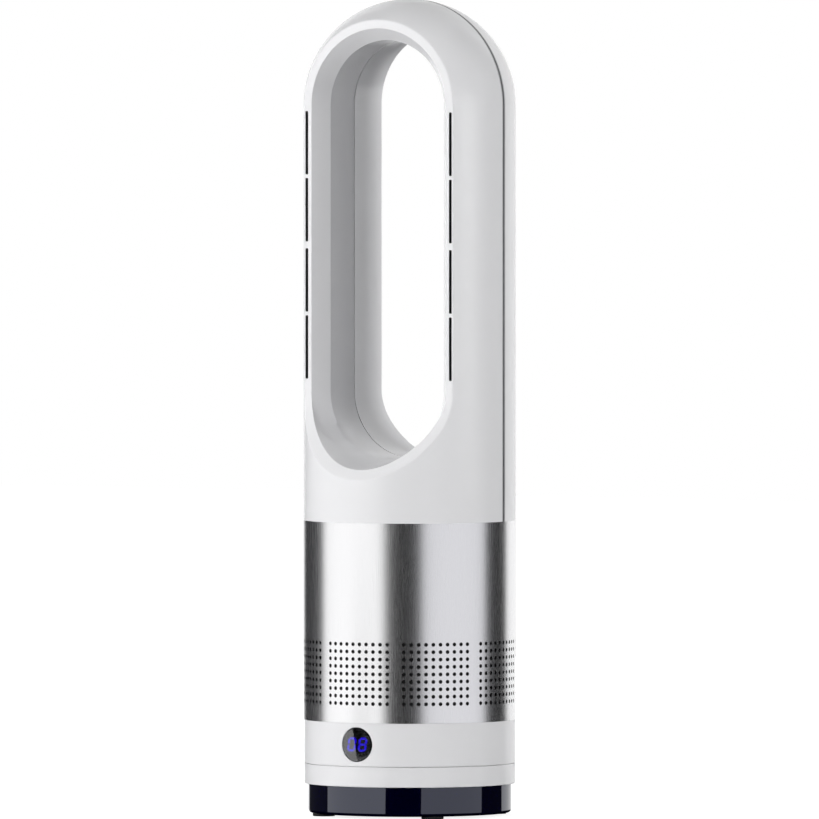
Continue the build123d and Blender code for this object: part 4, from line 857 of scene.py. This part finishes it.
@dataclass
class Base(SubAssembly):
    """The black drum that stands still, its plate, ballast, cord bush and feet."""

    body: str = "base"
    foot_r: float = 10.0 * MM
    foot_height: float = 2.5 * MM
    foot_circle_r: float = 79.4 * MM
    foot_count: int = 4
    foot_plug_r: float = 6.0 * MM
    foot_plug_top: float = 4.3 * MM
    foot_edge: float = 0.6 * MM
    edge_inward: float = 0.35
    edge_upward: float = 0.3
    tread_depth: float = 0.5 * MM
    tread_radii: tuple[float, ...] = (2.0 * MM, 4.4 * MM, 6.8 * MM)
    tread_width: float = 1.0 * MM
    tread_slope: float = 0.15 * MM
    foot_sides: int = 40
    foot_crease: float = 35.0
    finishes: ClassVar[tuple[Finish, ...]] = (
        Moulded("gloss_black", (0.0004, 0.0003, 0.0075), 0.04, wander=0.012, grain=260.0, depth=2e-7,
                drift=0.1, rubbed=0.0, dust=0.0, ior=1.92, sheen_tint=(0.8, 0.84, 1.0)),
        Moulded("black_plastic", (0.004, 0.004, 0.0045), 0.5, grain=1500.0, depth=8e-6, rubbed=0.1,
                dust=0.08),
        Moulded("soft_black_rubber", (0.011, 0.011, 0.012), 0.72, grain=2600.0, depth=1.5e-5,
                rubbed=0.05, dust=0.2),
        Metal("ballast_steel", (0.42, 0.41, 0.40), 0.48, stain=(0.22, 0.2, 0.18), stained=0.35),
        Metal("zinc_screws", (0.63, 0.64, 0.66), 0.3, stain=(0.5, 0.48, 0.4), stained=0.2),
    )

    def build(self) -> list[Piece]:
        """Builds the drum's even skin and the grooved feet."""
        return [self.skinned("base_shell", "gloss_black"), self._feet()]

    def _outline(self) -> list[tuple[float, float]]:
        """Lists a foot's outline, from the middle of its tread to the top of its plug.

        Returns:
            Radius and height of each corner.
        """
        line = [(0.0, 0.0)]
        for middle in self.tread_radii:
            near, far = middle - self.tread_width / 2, middle + self.tread_width / 2
            line += [(near, 0.0), (near + self.tread_slope, self.tread_depth),
                     (far - self.tread_slope, self.tread_depth), (far, 0.0)]
        inward, upward = self.foot_edge * self.edge_inward, self.foot_edge * self.edge_upward
        return line + [
            (self.foot_r - self.foot_edge, 0.0), (self.foot_r - inward, upward),
            (self.foot_r, self.foot_edge), (self.foot_r, self.foot_height),
            (self.foot_plug_r, self.foot_height), (self.foot_plug_r, self.foot_plug_top),
            (0.0, self.foot_plug_top)]

    def _foot(self) -> Mesh:
        """Turns one foot, with round grooves in its tread.

        Returns:
            The foot's mesh, standing on the floor at the origin.
        """
        shape = bmesh.new()
        rings: list[list[bmesh.types.BMVert]] = []
        for radius, height in self._outline():
            spots = circle(radius, self.foot_sides) if radius else [(0.0, 0.0)]
            rings.append([shape.verts.new((x, y, height)) for x, y in spots])
        for low, high in zip(rings, rings[1:]):
            for k in range(self.foot_sides):
                after = (k + 1) % self.foot_sides
                if len(low) == 1:
                    shape.faces.new((low[0], high[after], high[k]))
                elif len(high) == 1:
                    shape.faces.new((low[k], low[after], high[0]))
                else:
                    shape.faces.new((low[k], low[after], high[after], high[k]))
        bmesh.ops.recalc_face_normals(shape, faces=shape.faces)
        mesh = bpy.data.meshes.new("one_foot")
        shape.to_mesh(mesh)
        shape.free()
        return mesh

    def _feet(self) -> Piece:
        """Stands a foot on each corner of a square, by Geometry Nodes.

        Returns:
            The piece of all the feet.
        """
        grower = Grower("rubber_feet_ribbed", self._foot())
        sizes = {"Vertices": grower.size("Feet", self.foot_count),
                 "Radius": grower.size("Circle radius", self.foot_circle_r)}
        spots = grower.add("GeometryNodeMeshCircle", sizes).outputs[0]
        spots = grower.moved(spots, turn=(0.0, 0.0, 180.0 / self.foot_count))
        mesh = grower.grown(grower.spread_on(spots, grower.seed), "soft_black_rubber")
        mesh.shade_smooth()
        mesh.set_sharp_from_angle(angle=math.radians(self.foot_crease))
        return stood("rubber_feet_ribbed", mesh, "soft_black_rubber", self.body, "rubber_feet")


@dataclass
class LowerRings(SubAssembly):
    """The two white rings that carry the display and close the turning column from below."""

    finishes: ClassVar[tuple[Finish, ...]] = (
        Moulded("white_plastic", (0.83, 0.83, 0.845), 0.23, wander=0.02, grain=1900.0, depth=1.0e-6,
                drift=0.006, rubbed=0.02, dust=0.01, seam_shade=0.8),
    )

    def build(self) -> list[Piece]:
        """Builds the even skins of both rings."""
        return [self.skinned("lower_skirt", "white_plastic"), self.skinned("control_ring", "white_plastic")]


@dataclass
class DisplayButton(SubAssembly):
    """The smoked lens that is pressed, and the digits behind it."""

    body: str = "display_button"
    finishes: ClassVar[tuple[Finish, ...]] = (
        SmokedLens("smoked_lens", (0.12, 0.12, 0.13), 0.02),
        LitSegments("lit_digits", (0.05, 0.05, 0.2), 0.3),
        Moulded("display_black", (0.004, 0.004, 0.005), 0.5, grain=2200.0, depth=6e-6, rubbed=0.02,
                dust=0.02),
    )

    def build(self) -> list[Piece]:
        """Builds the lens's even skin."""
        return [self.skinned("display_button", "smoked_lens")]


@dataclass
class IntakeSleeve(SubAssembly):
    """The perforated metal sleeve, a flat sheet rolled into a tube, and the cage's louvres behind it."""

    thickness: float = 0.8 * MM
    low: float = 86.1 * MM
    high: float = 264.5 * MM
    hole_r: float = 1.75 * MM
    hole_sides: int = 16
    pitch_degrees: int = 4
    fields: int = 8
    columns: int = 10
    rows: int = 9
    corners_round: int = 361
    upper_corners: int = 4
    lower_corners: int = 2
    middle: float = 129.9 * MM
    louvre_outer_r: float = 93.7 * MM
    louvre_inner_r: float = 91.8 * MM
    louvre_low: float = 98.5 * MM
    louvre_pitch: float = 2.4 * MM
    louvre_lift: float = 1.9 * MM
    louvre_thickness: float = 0.8 * MM
    louvre_sides: int = 96
    louvre_count: int = 26
    finishes: ClassVar[tuple[Finish, ...]] = (
        Metal("brushed_sleeve", (0.98, 0.98, 0.99), 0.265, lay=Lay.UPRIGHT, wander=0.015, depth=2e-7,
              drift=0.01, stain=(0.88, 0.88, 0.9), stained=0.04, hole_shade_r=HOLE_SHADE_R),
    )

    def build(self) -> list[Piece]:
        """Rolls the sleeve, and stacks the louvres."""
        return [self._sleeve(), self._louvres()]

    @property
    def pitch(self) -> float:
        """The way from one hole to the next."""
        return COLUMN_R * math.radians(self.pitch_degrees)

    def _louvre(self) -> Mesh:
        """Makes one ring that slopes up and inwards, so that nothing is seen through between two.

        Returns:
            The ring's mesh, with its lower edge at height 0.
        """
        outer = circle(self.louvre_outer_r, self.louvre_sides)
        inner = circle(self.louvre_inner_r, self.louvre_sides)
        wall, lift = self.louvre_thickness, self.louvre_lift
        heights = (0.0, wall, lift + wall, lift)
        points = [(*spot, height) for far, near in zip(outer, inner)
                  for spot, height in zip((far, far, near, near), heights)]
        faces: list[tuple[int, ...]] = []
        edges = ((0, 1), (1, 2), (2, 3), (3, 0))
        for k in range(self.louvre_sides):
            here, after = 4 * k, 4 * ((k + 1) % self.louvre_sides)
            faces += [(here + a, after + a, after + b, here + b) for a, b in edges]
        return drawn("louvre", points, faces)

    def _louvres(self) -> Piece:
        """Stacks the cage's louvres across its windows.

        Returns:
            The louvres' piece.
        """
        grower = Grower("cage_louvres", self._louvre())
        count, pitch = grower.size("Louvres", self.louvre_count), grower.size("Pitch", self.louvre_pitch)
        low = grower.size("Lowest", self.louvre_low)
        stack = grower.row(count, grower.vector(0.0, 0.0, low), grower.vector(0.0, 0.0, pitch))
        mesh = grower.grown(grower.spread_on(stack, grower.seed), "black_plastic")
        return stood("cage_louvres", mesh, "black_plastic", self.body)

    @staticmethod
    def _side(turns: float) -> float:
        """Follows one coordinate round the border of a square.

        Args:
            turns: how far round, in whole turns from the middle of the side that it grows towards.

        Returns:
            The coordinate, from -1 to 1.
        """
        slope = 2.0 - 8.0 * abs((turns + 0.5) % 1.0 - 0.5)  # from 2 down to -2 and back in one turn
        return max(-1.0, min(1.0, slope))

    def _tile(self) -> Mesh:
        """Makes one square of sheet with one round hole through it.

        Returns:
            The tile's mesh: outer skin at height 0, inner skin one thickness below.
        """
        half, sides = self.pitch / 2, self.hole_sides
        border = [(half * self._side(k / sides), half * self._side(k / sides - 0.25)) for k in range(sides)]
        lines = (border, circle(self.hole_r, sides))
        points = [(x, y, z) for z in (0.0, -self.thickness) for line in lines for x, y in line]
        faces: list[tuple[int, ...]] = []
        for k in range(sides):
            after = (k + 1) % sides
            faces.append((sides + k, k, after, sides + after))
            faces.append((3 * sides + k, 3 * sides + after, 2 * sides + after, 2 * sides + k))
            faces.append((sides + k, sides + after, 3 * sides + after, 3 * sides + k))
        return drawn("hole_tile", points, faces)

    def _sleeve(self) -> Piece:
        """Repeats the tile, adds the plain bands, rolls the sheet and closes its edges.

        Returns:
            The sleeve's piece.
        """
        grower = Grower("perforated_sleeve", self._tile())
        radius, wall = grower.size("Outer radius", COLUMN_R), grower.size("Thickness", self.thickness)
        pitch, fields = grower.size("Pitch", self.pitch), grower.size("Fields", self.fields)
        columns, rows = grower.size("Columns", self.columns), grower.size("Rows", self.rows)
        middle = grower.size("Middle height", self.middle)
        low, high = grower.size("Lower edge", self.low), grower.size("Upper edge", self.high)
        steps = grower.size("Corners round", self.corners_round)
        gap_degrees = (self.corners_round - 1) // self.fields - self.columns * self.pitch_degrees
        gap_steps = grower.size("Corners across a gap", gap_degrees + 1)
        field_steps = grower.size("Corners up a field", self.rows * self.pitch_degrees + 1)

        around = grower.times(radius, math.tau)
        share = grower.number("DIVIDE", around, fields)
        field_width, field_height = grower.times(pitch, columns), grower.times(pitch, rows)
        spots = grower.grid(grower.times(pitch, grower.less(columns, 1.0)),
                            grower.times(pitch, grower.less(rows, 1.0)), columns, rows)
        one_field = grower.spread_on(spots, grower.seed)
        gap_width = grower.less(share, field_width)
        gap = self._both_skins(grower, gap_width, field_height, gap_steps, field_steps, wall)
        gap = grower.moved(gap, grower.vector(grower.times(share, 0.5), 0.0))
        row_of_fields = grower.row(fields, grower.vector(0.0, middle), grower.vector(share, 0.0))
        sheets = [grower.spread_on(row_of_fields, grower.joined(one_field, gap))]

        half_field, half_around = grower.times(field_height, 0.5), grower.times(around, 0.5)
        top_of_holes = grower.number("ADD", middle, half_field)
        foot_of_holes = grower.less(middle, half_field)
        bands = ((top_of_holes, high, self.upper_corners), (low, foot_of_holes, self.lower_corners))
        for start, end, count in bands:
            tall = grower.less(end, start)
            centre = grower.number("MULTIPLY_ADD", tall, 0.5, start)
            band = self._both_skins(grower, around, tall, steps, count, wall)
            sheets.append(grower.moved(band, grower.vector(half_around, centre)))
        for edge, tip in ((high, -90.0), (low, 90.0)):
            strip = grower.grid(around, wall, steps, 2)
            place = grower.vector(half_around, edge, grower.times(wall, -0.5))
            sheets.append(grower.moved(strip, place, (tip, 0.0, 0.0)))

        rolled = self._rolled(grower, grower.real(grower.joined(*sheets)), radius)
        closed = grower.add("GeometryNodeMergeByDistance", {"Geometry": rolled, "Distance": SAME_PLACE})
        mesh = grower.grown(closed.outputs[0], "brushed_sleeve")
        self._set_normals(mesh)
        return stood("perforated_sleeve", mesh, "brushed_sleeve", self.body, "intake_sleeve")

    @staticmethod
    def _both_skins(grower: Grower, width: Socket, height: Socket, across: Socket, up: object,
                    wall: Socket) -> Socket:
        """Makes a plain stretch of sheet: its outer skin, and its inner one turned over.

        Args:
            grower: the tree.
            width: the stretch's length round the sleeve.
            height: its height.
            across: corners round.
            up: corners up.
            wall: the sheet's thickness.

        Returns:
            The stretch's socket.
        """
        skin = grower.grid(width, height, across, up)
        turned = grower.add("GeometryNodeFlipFaces", (skin,)).outputs[0]
        return grower.joined(skin, grower.moved(turned, grower.vector(0.0, 0.0, grower.times(wall, -1.0))))

    @staticmethod
    def _rolled(grower: Grower, sheet: Socket, radius: Socket) -> Socket:
        """Rolls the flat sheet round the Z axis, with its length's start at the front.

        Args:
            grower: the tree.
            sheet: the flat sheet, with its outer skin at height 0.
            radius: the outer skin's radius.

        Returns:
            The tube's socket.
        """
        parts = grower.parts(grower.add("GeometryNodeInputPosition").outputs[0])
        turn = grower.number("DIVIDE", parts["X"], radius)
        reach = grower.number("ADD", parts["Z"], radius)
        x = grower.times(reach, grower.number("SINE", turn))
        y = grower.times(grower.times(reach, grower.number("COSINE", turn)), -1.0)
        inputs = {"Geometry": sheet, "Position": grower.vector(x, y, parts["Y"])}
        return grower.add("GeometryNodeSetPosition", inputs).outputs[0]

    def _set_normals(self, mesh: Mesh) -> None:
        """Points the skins' normals straight out and in, and leaves each other face its own.

        Args:
            mesh: the sleeve's mesh.
        """
        corners = Corners(mesh)
        starts = np.concatenate([[0], np.cumsum(corners.count)[:-1]])
        centre = np.add.reduceat(corners.place, starts, axis=0) / corners.count[:, None]
        away = np.hypot(centre[:, 0], centre[:, 1])
        on_skin = (np.abs(away - COLUMN_R) < ON_SKIN) | (np.abs(away - COLUMN_R + self.thickness) < ON_SKIN)
        corners.shade(np.where(on_skin[corners.owner][:, None], corners.radial(), corners.own))


@dataclass
class AirLoop(SubAssembly):
    """The tall white loop in two halves, with the dark inserts behind its slots."""

    crease: float = 31.0
    finishes: ClassVar[tuple[Finish, ...]] = (
        Celled("foam_seal", (0.06, 0.06, 0.065), 0.85, second=(0.012, 0.012, 0.013), cells=1400.0,
               wall=0.22),
    )

    def build(self) -> list[Piece]:
        """Builds the even skins of both halves."""
        halves = ("front_shell", "rear_shell")
        return [self.skinned(node, "white_plastic", self.crease, True) for node in halves]


@dataclass
class FanUnit(SubAssembly):
    """The impeller, its motor and the ducts round them, all inside the column."""

    finishes: ClassVar[tuple[Finish, ...]] = (
        Moulded("grey_plastic", (0.23, 0.235, 0.24), 0.45, grain=1300.0, depth=6e-6, rubbed=0.12,
                dust=0.1),
        Moulded("impeller_white", (0.72, 0.72, 0.7), 0.38, grain=1200.0, depth=3e-6, rubbed=0.08,
                dust=0.06),
        Metal("steel_parts", (0.56, 0.57, 0.58), 0.24, lay=Lay.ROUND, stained=0.08),
        Moulded("magnet_grey", (0.07, 0.07, 0.075), 0.55, grain=2400.0, depth=9e-6, rubbed=0.3),
        Striped("lamination_steel", (0.4, 0.4, 0.42), 0.42, second=(0.14, 0.14, 0.15)),
        Striped("copper_winding", (0.72, 0.3, 0.13), 0.3, second=(0.3, 0.1, 0.04), pitch=0.45 * MM),
    )


@dataclass
class SwingDrive(SubAssembly):
    """The post, the gear and the pinion that swing the column."""

    finishes: ClassVar[tuple[Finish, ...]] = (
        Metal("post_aluminium", (0.77, 0.77, 0.78), 0.32, lay=Lay.ROUND, stained=0.05),
        Moulded("gear_nylon", (0.68, 0.66, 0.58), 0.4, grain=1600.0, depth=3e-6, rubbed=0.15, dust=0.04),
    )


@dataclass
class Electronics(SubAssembly):
    """The boards and what is soldered to them."""

    finishes: ClassVar[tuple[Finish, ...]] = (
        Celled("board_green", (0.02, 0.16, 0.07), 0.3, second=(0.008, 0.085, 0.035), cells=420.0,
               wall=0.1, depth=2e-5),
        Moulded("capacitor_sleeve", (0.015, 0.02, 0.06), 0.3, grain=900.0, depth=3e-6, rubbed=0.1),
        Moulded("socket_white", (0.76, 0.74, 0.68), 0.42, grain=1500.0, depth=3e-6, rubbed=0.08),
        Metal("heatsink_black", (0.03, 0.03, 0.032), 0.45, lay=Lay.UPRIGHT, stain=(0.1, 0.1, 0.1)),
        Moulded("switch_black", (0.02, 0.02, 0.022), 0.4, grain=1800.0, depth=4e-6, rubbed=0.15),
        Moulded("plunger_ivory", (0.66, 0.62, 0.5), 0.38, grain=1500.0, depth=3e-6, rubbed=0.1),
    )


# ---------------------------------------------------------------- studio


def around_fan(degrees: float, rise: float = 0.0) -> Vector:
    """Points from the fan to its surroundings, by the angle from its front and the rise in degrees."""
    turn, lift = math.radians(degrees), math.radians(rise)
    return Vector((math.sin(turn) * math.cos(lift), -math.cos(turn) * math.cos(lift), math.sin(lift)))


def placed(name: str, data: bpy.types.ID) -> Piece:
    """Puts a mesh, a lamp or a camera in the scene.

    Args:
        name: the object's name.
        data: what it holds.

    Returns:
        The object, which is turned by its quaternion.
    """
    thing = bpy.data.objects.new(name, data)
    bpy.context.scene.collection.objects.link(thing)
    thing.rotation_mode = "QUATERNION"
    return thing


def new_material(name: str) -> tuple[bpy.types.Material, Wiring]:
    """Makes a material for the studio.

    Args:
        name: the material's name.

    Returns:
        The material and its empty tree.
    """
    material = bpy.data.materials.new(name)
    material.use_nodes = True
    return material, Wiring(material.node_tree)


def glowing_card(name: str, points: Sequence[Sequence[float]], faces: Sequence[Sequence[int]],
                 glow: Colour) -> None:
    """Makes a card that only reflections see.

    Its tone is kept on its corners, so that the sampling of the light treats black and pale cards alike.

    Args:
        name: the card's name.
        points: its corners.
        faces: its faces, as numbers of corners.
        glow: its tone.
    """
    material, wiring = new_material(name)
    tone = wiring.add("ShaderNodeAttribute", attribute_name="glow").outputs["Color"]
    light = wiring.add("ShaderNodeEmission", {"Color": tone})
    wiring.add("ShaderNodeOutputMaterial", {"Surface": light.outputs[0]})
    mesh = drawn(name, points, faces)
    tones = mesh.color_attributes.new("glow", "FLOAT_COLOR", "POINT")
    tones.data.foreach_set("color", (*glow, 1.0) * len(points))
    mesh.materials.append(material)
    card = placed(name, mesh)
    card.visible_camera = card.visible_diffuse = card.visible_shadow = False
    card.visible_transmission = card.visible_volume_scatter = False
    log.info("card %s stands", name)


@dataclass(frozen=True)
class Card:
    """An upright card bent round the fan, placed by the angles from the camera's side."""

    name: str
    start: float
    end: float
    glow: Colour
    reach: float = 3.0
    low: float = -2.0
    high: float = 5.0
    step: float = 3.0

    def build(self, azimuth: float) -> None:
        """Stands the card up.

        Args:
            azimuth: the camera's own angle round the fan, in degrees.
        """
        count = int((self.end - self.start) / self.step) + 1
        points: list[tuple[float, float, float]] = []
        for k in range(count):
            turn = azimuth + self.start + (self.end - self.start) * k / (count - 1)
            x, y, _ = around_fan(turn) * self.reach
            points += [(x, y, height) for height in (self.low, self.high)]
        faces = [(2 * k, 2 * k + 1, 2 * k + 3, 2 * k + 2) for k in range(count - 1)]
        glowing_card(self.name, points, faces, self.glow)


@dataclass(frozen=True)
class Lamp:
    """A soft square lamp that reflections don't see, placed by the angle from the camera's side."""

    name: str
    around: float
    side: float
    power: float
    height: float = 0.7
    away: float = 3.2
    aim: float = 0.36

    def build(self, azimuth: float) -> None:
        """Hangs the lamp.

        Args:
            azimuth: the camera's own angle round the fan, in degrees.
        """
        light = bpy.data.lights.new(self.name, "AREA")
        light.size, light.energy = self.side, self.power
        lamp = placed(self.name, light)
        lamp.location = around_fan(azimuth + self.around) * self.away + Vector((0.0, 0.0, self.height))
        lamp.rotation_quaternion = (Vector((0.0, 0.0, self.aim)) - lamp.location).to_track_quat("-Z", "Y")
        lamp.visible_glossy = False
        log.info("lamp %s hangs", self.name)


@dataclass
class Camera:
    """A long lens that looks at the fan from the photograph's side."""

    azimuth: float = 30.2
    elevation: float = 1.8
    lens: float = 900.0
    sensor: float = 36.0
    view_width: float = 0.7336
    middle_z: float = 0.3634
    axis_right: float = 0.00022
    clip_end: float = 100.0

    @property
    def back(self) -> Vector:
        """The way from the fan to the camera."""
        return around_fan(self.azimuth, self.elevation)

    def build(self) -> None:
        """Sets the camera up."""
        data = bpy.data.cameras.new("camera")
        data.lens, data.sensor_width, data.clip_end = self.lens, self.sensor, self.clip_end
        camera = placed("camera", data)
        right = around_fan(self.azimuth + 90.0)
        target = Vector((0.0, 0.0, self.middle_z)) - right * self.axis_right
        camera.location = target + self.back * (self.view_width * self.lens / self.sensor)
        camera.rotation_quaternion = (-self.back).to_track_quat("-Z", "Y")
        bpy.context.scene.camera = camera


@dataclass
class LensMirror:
    """What only the lens mirrors: a dark card on its right, and lamps that end at a slanted edge.

    Each lamp has its share of the lens's left part, and its glow. They lie over one another, so that the
    reflection is brightest at the slanted edge.
    """

    camera: Camera
    lens_z: float = 66.8 * MM
    lens_r: float = 15.3 * MM
    ring_r: float = 94.5 * MM
    foot_edge: float = -0.05
    top_edge: float = -0.40
    card_away: float = 1.3
    card_below: float = 2.2
    card_above: float = 1.25
    card_glow: Colour = (0.05, 0.05, 0.055)
    lamp_away: float = 0.6
    lamp_below: float = 0.025
    lamp_above: float = 0.15
    lamps: tuple[tuple[float, float], ...] = ((1.6, 2.6), (0.8, 2.4), (0.5, 4.2), (0.25, 6.5))

    def build(self) -> bpy.types.Collection:
        """Stands the card up and hangs the lamps.

        Returns:
            The collection of what the lamps light.
        """
        group = bpy.data.collections.new("lens_only")
        self._card()
        self._lamps(group)
        return group

    @property
    def outward(self) -> Vector:
        """The way in which the middle of the lens mirrors the camera, made level."""
        return around_fan(-self.camera.azimuth)

    def _mirrored(self, across: float, height: float, away: float) -> Vector:
        """Follows the camera's sight from the lens to an upright plane.

        Args:
            across: where on the lens, from its left edge at -1 to its right edge at 1.
            height: the height there.
            away: the plane's distance from the lens.

        Returns:
            The point on the plane.
        """
        facing = around_fan(math.degrees(math.asin(across * self.lens_r / self.ring_r)))
        spot = facing * self.ring_r + Vector((0.0, 0.0, height))
        sight = -self.camera.back
        bounced = sight - 2.0 * sight.dot(facing) * facing
        start = Vector((0.0, -self.ring_r, 0.0))
        way = (away - (spot - start).dot(self.outward)) / bounced.dot(self.outward)
        return spot + bounced * way

    def _card(self) -> None:
        """Stands a dark card where the right part of the lens mirrors it."""
        low, high = self.lens_z - self.lens_r * self.card_below, self.lens_z + self.lens_r * self.card_above
        corners = ((self.foot_edge, low), (1.0, low), (1.0, high), (self.top_edge, high))
        points = [self._mirrored(across, height, self.card_away) for across, height in corners]
        glowing_card("lens_dark_card", points, [(0, 1, 2, 3)], self.card_glow)

    def _lamps(self, group: bpy.types.Collection) -> None:
        """Hangs lamps side by side from the slanted edge, the brightest the narrowest.

        Args:
            group: the collection of what they light.
        """
        foot = self._mirrored(self.foot_edge, self.lens_z - self.lens_r, self.lamp_away)
        top = self._mirrored(self.top_edge, self.lens_z + self.lens_r, self.lamp_away)
        upward = (top - foot).normalized()
        sideways = upward.cross(self.outward)
        reach = (self._mirrored(-1.0, self.lens_z, self.lamp_away) - (foot + top) / 2.0).dot(sideways)
        bottom, ceiling = foot - upward * self.lamp_below, top + upward * self.lamp_above
        height = (ceiling - bottom).length
        for share, glow in self.lamps:
            width = abs(reach) * share
            light = bpy.data.lights.new("lens_lamp", "AREA")
            light.shape = "RECTANGLE"
            light.size, light.size_y = width, height
            light.energy = glow * math.pi * width * height
            lamp = placed("lens_lamp", light)
            lamp.location = (bottom + ceiling) / 2.0 + sideways * math.copysign(width / 2.0, reach)
            lamp.rotation_quaternion = Matrix((sideways, upward, self.outward)).transposed().to_quaternion()
            lamp.visible_camera = False
            lamp.light_linking.receiver_collection = group


@dataclass
class Studio:
    """The lamps, the cards and the pale floor round the fan.

    The shadow is where the floor's white begins and ends, from the middle, and how much of it there is at
    the least. The card behind lies between its left, right, near and far sides.
    """

    azimuth: float
    surround: float = 0.015
    floor_side: float = 7.0
    floor_grey: float = 0.5
    shadow: Trio = (0.1, 0.5, 0.88)
    under_r: float = 0.2
    under_z: float = -0.02
    under_sides: int = 32
    behind: tuple[float, float, float, float] = (-1.5, 2.5, 1.1, 5.0)
    behind_z: float = -0.4
    lamps: tuple[Lamp, ...] = (
        Lamp("left_back_lamp", -120.0, 1.3, 22.0),
        Lamp("left_lamp", -65.0, 1.5, 46.0),
        Lamp("front_left_lamp", -45.0, 1.5, 39.0),
        Lamp("front_right_lamp", 45.0, 1.0, 8.4),
        Lamp("right_lamp", 60.0, 0.8, 19.0),
        Lamp("far_right_lamp", 70.0, 0.8, 32.0),
        Lamp("right_rim_lamp", 150.0, 1.0, 16.0),
        Lamp("back_lamp", 178.0, 1.3, 20.0),
        Lamp("top_lamp", -30.0, 1.4, 22.0, height=3.2, away=0.8),
    )
    cards: tuple[Card, ...] = (
        Card("left_black_card", -160.0, -106.5, (0.03, 0.03, 0.032)),
        Card("middle_black_card", -27.0, 13.0, BLACK),
        Card("right_soft_card", 13.0, 89.0, (0.7, 0.7, 0.725), reach=3.02),
        Card("right_black_card", 89.0, 128.0, (0.01, 0.01, 0.01)),
    )

    def build(self) -> None:
        """Sets the studio up."""
        self._world()
        self._floor()
        for thing in (*self.lamps, *self.cards):
            thing.build(self.azimuth)
        self._low_cards()
        bpy.context.scene.view_settings.view_transform = "Standard"

    def _world(self) -> None:
        """Lights the room faintly, and shows it white to the camera and to reflections."""
        world = bpy.data.worlds.new("white_room")
        bpy.context.scene.world = world
        world.use_nodes = True
        wiring = Wiring(world.node_tree)
        rays = wiring.add("ShaderNodeLightPath").outputs
        seen = wiring.number("MAXIMUM", rays["Is Camera Ray"], rays["Is Glossy Ray"])
        seen = wiring.number("MAXIMUM", seen, rays["Is Transmission Ray"])
        lit, shown = (wiring.add("ShaderNodeBackground", {"Color": WHITE, "Strength": strength}).outputs[0]
                      for strength in (self.surround, 1.0))
        both = wiring.add("ShaderNodeMixShader", (seen, lit, shown))
        wiring.add("ShaderNodeOutputWorld", {"Surface": both.outputs[0]})

    def _floor(self) -> None:
        """Lays the pale floor, which keeps the fan's shadow and is white to the camera elsewhere."""
        side, grey = self.floor_side, self.floor_grey
        corners = [(-side, -side, 0.0), (side, -side, 0.0), (side, side, 0.0), (-side, side, 0.0)]
        mesh = drawn("pale_floor", corners, [(0, 1, 2, 3)])
        material, wiring = new_material("pale_floor")
        paper = wiring.add("ShaderNodeBsdfDiffuse", {"Color": (grey, grey, grey)})
        away = wiring.length(wiring.add("ShaderNodeTexCoord").outputs["Object"])
        seen = wiring.add("ShaderNodeLightPath").outputs["Is Camera Ray"]
        strength = wiring.times(seen, wiring.spread(away, *self.shadow))
        glow = wiring.add("ShaderNodeEmission", {"Strength": strength})
        both = wiring.add("ShaderNodeAddShader", (paper.outputs[0], glow.outputs[0]))
        wiring.add("ShaderNodeOutputMaterial", {"Surface": both.outputs[0]})
        mesh.materials.append(material)
        floor = placed("pale_floor", mesh)
        floor.visible_glossy = False

    def _low_cards(self) -> None:
        """Lays black cards for the reflections in the drum's lower edge and in the loop's ceiling."""
        under = [(x, y, self.under_z) for x, y in circle(self.under_r, self.under_sides)]
        glowing_card("under_card", under, [tuple(range(self.under_sides))], BLACK)
        left, right, near, far = self.behind
        behind = [(x, y, self.behind_z) for x, y in ((left, near), (right, near), (right, far), (left, far))]
        glowing_card("behind_card", behind, [(0, 1, 2, 3)], BLACK)


# ---------------------------------------------------------------- the whole fan


def main() -> None:
    """Builds the studio and every sub-assembly in order."""
    logging.basicConfig(level=logging.INFO, format="%(name)s: %(message)s")
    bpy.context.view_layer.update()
    camera = Camera()
    camera.build()
    Studio(camera.azimuth).build()
    lens_group = LensMirror(camera).build()
    groups: tuple[SubAssembly, ...] = (
        Base(), LowerRings(), DisplayButton(), IntakeSleeve(), AirLoop(), FanUnit(), SwingDrive(),
        Electronics())
    for group in groups:
        group.dress()
    for group in groups:
        for piece in group.build():
            log.info("%s built %s", type(group).__name__, piece.name)
            if isinstance(group, DisplayButton):
                lens_group.objects.link(piece)


if __name__ == "__main__":
    main()
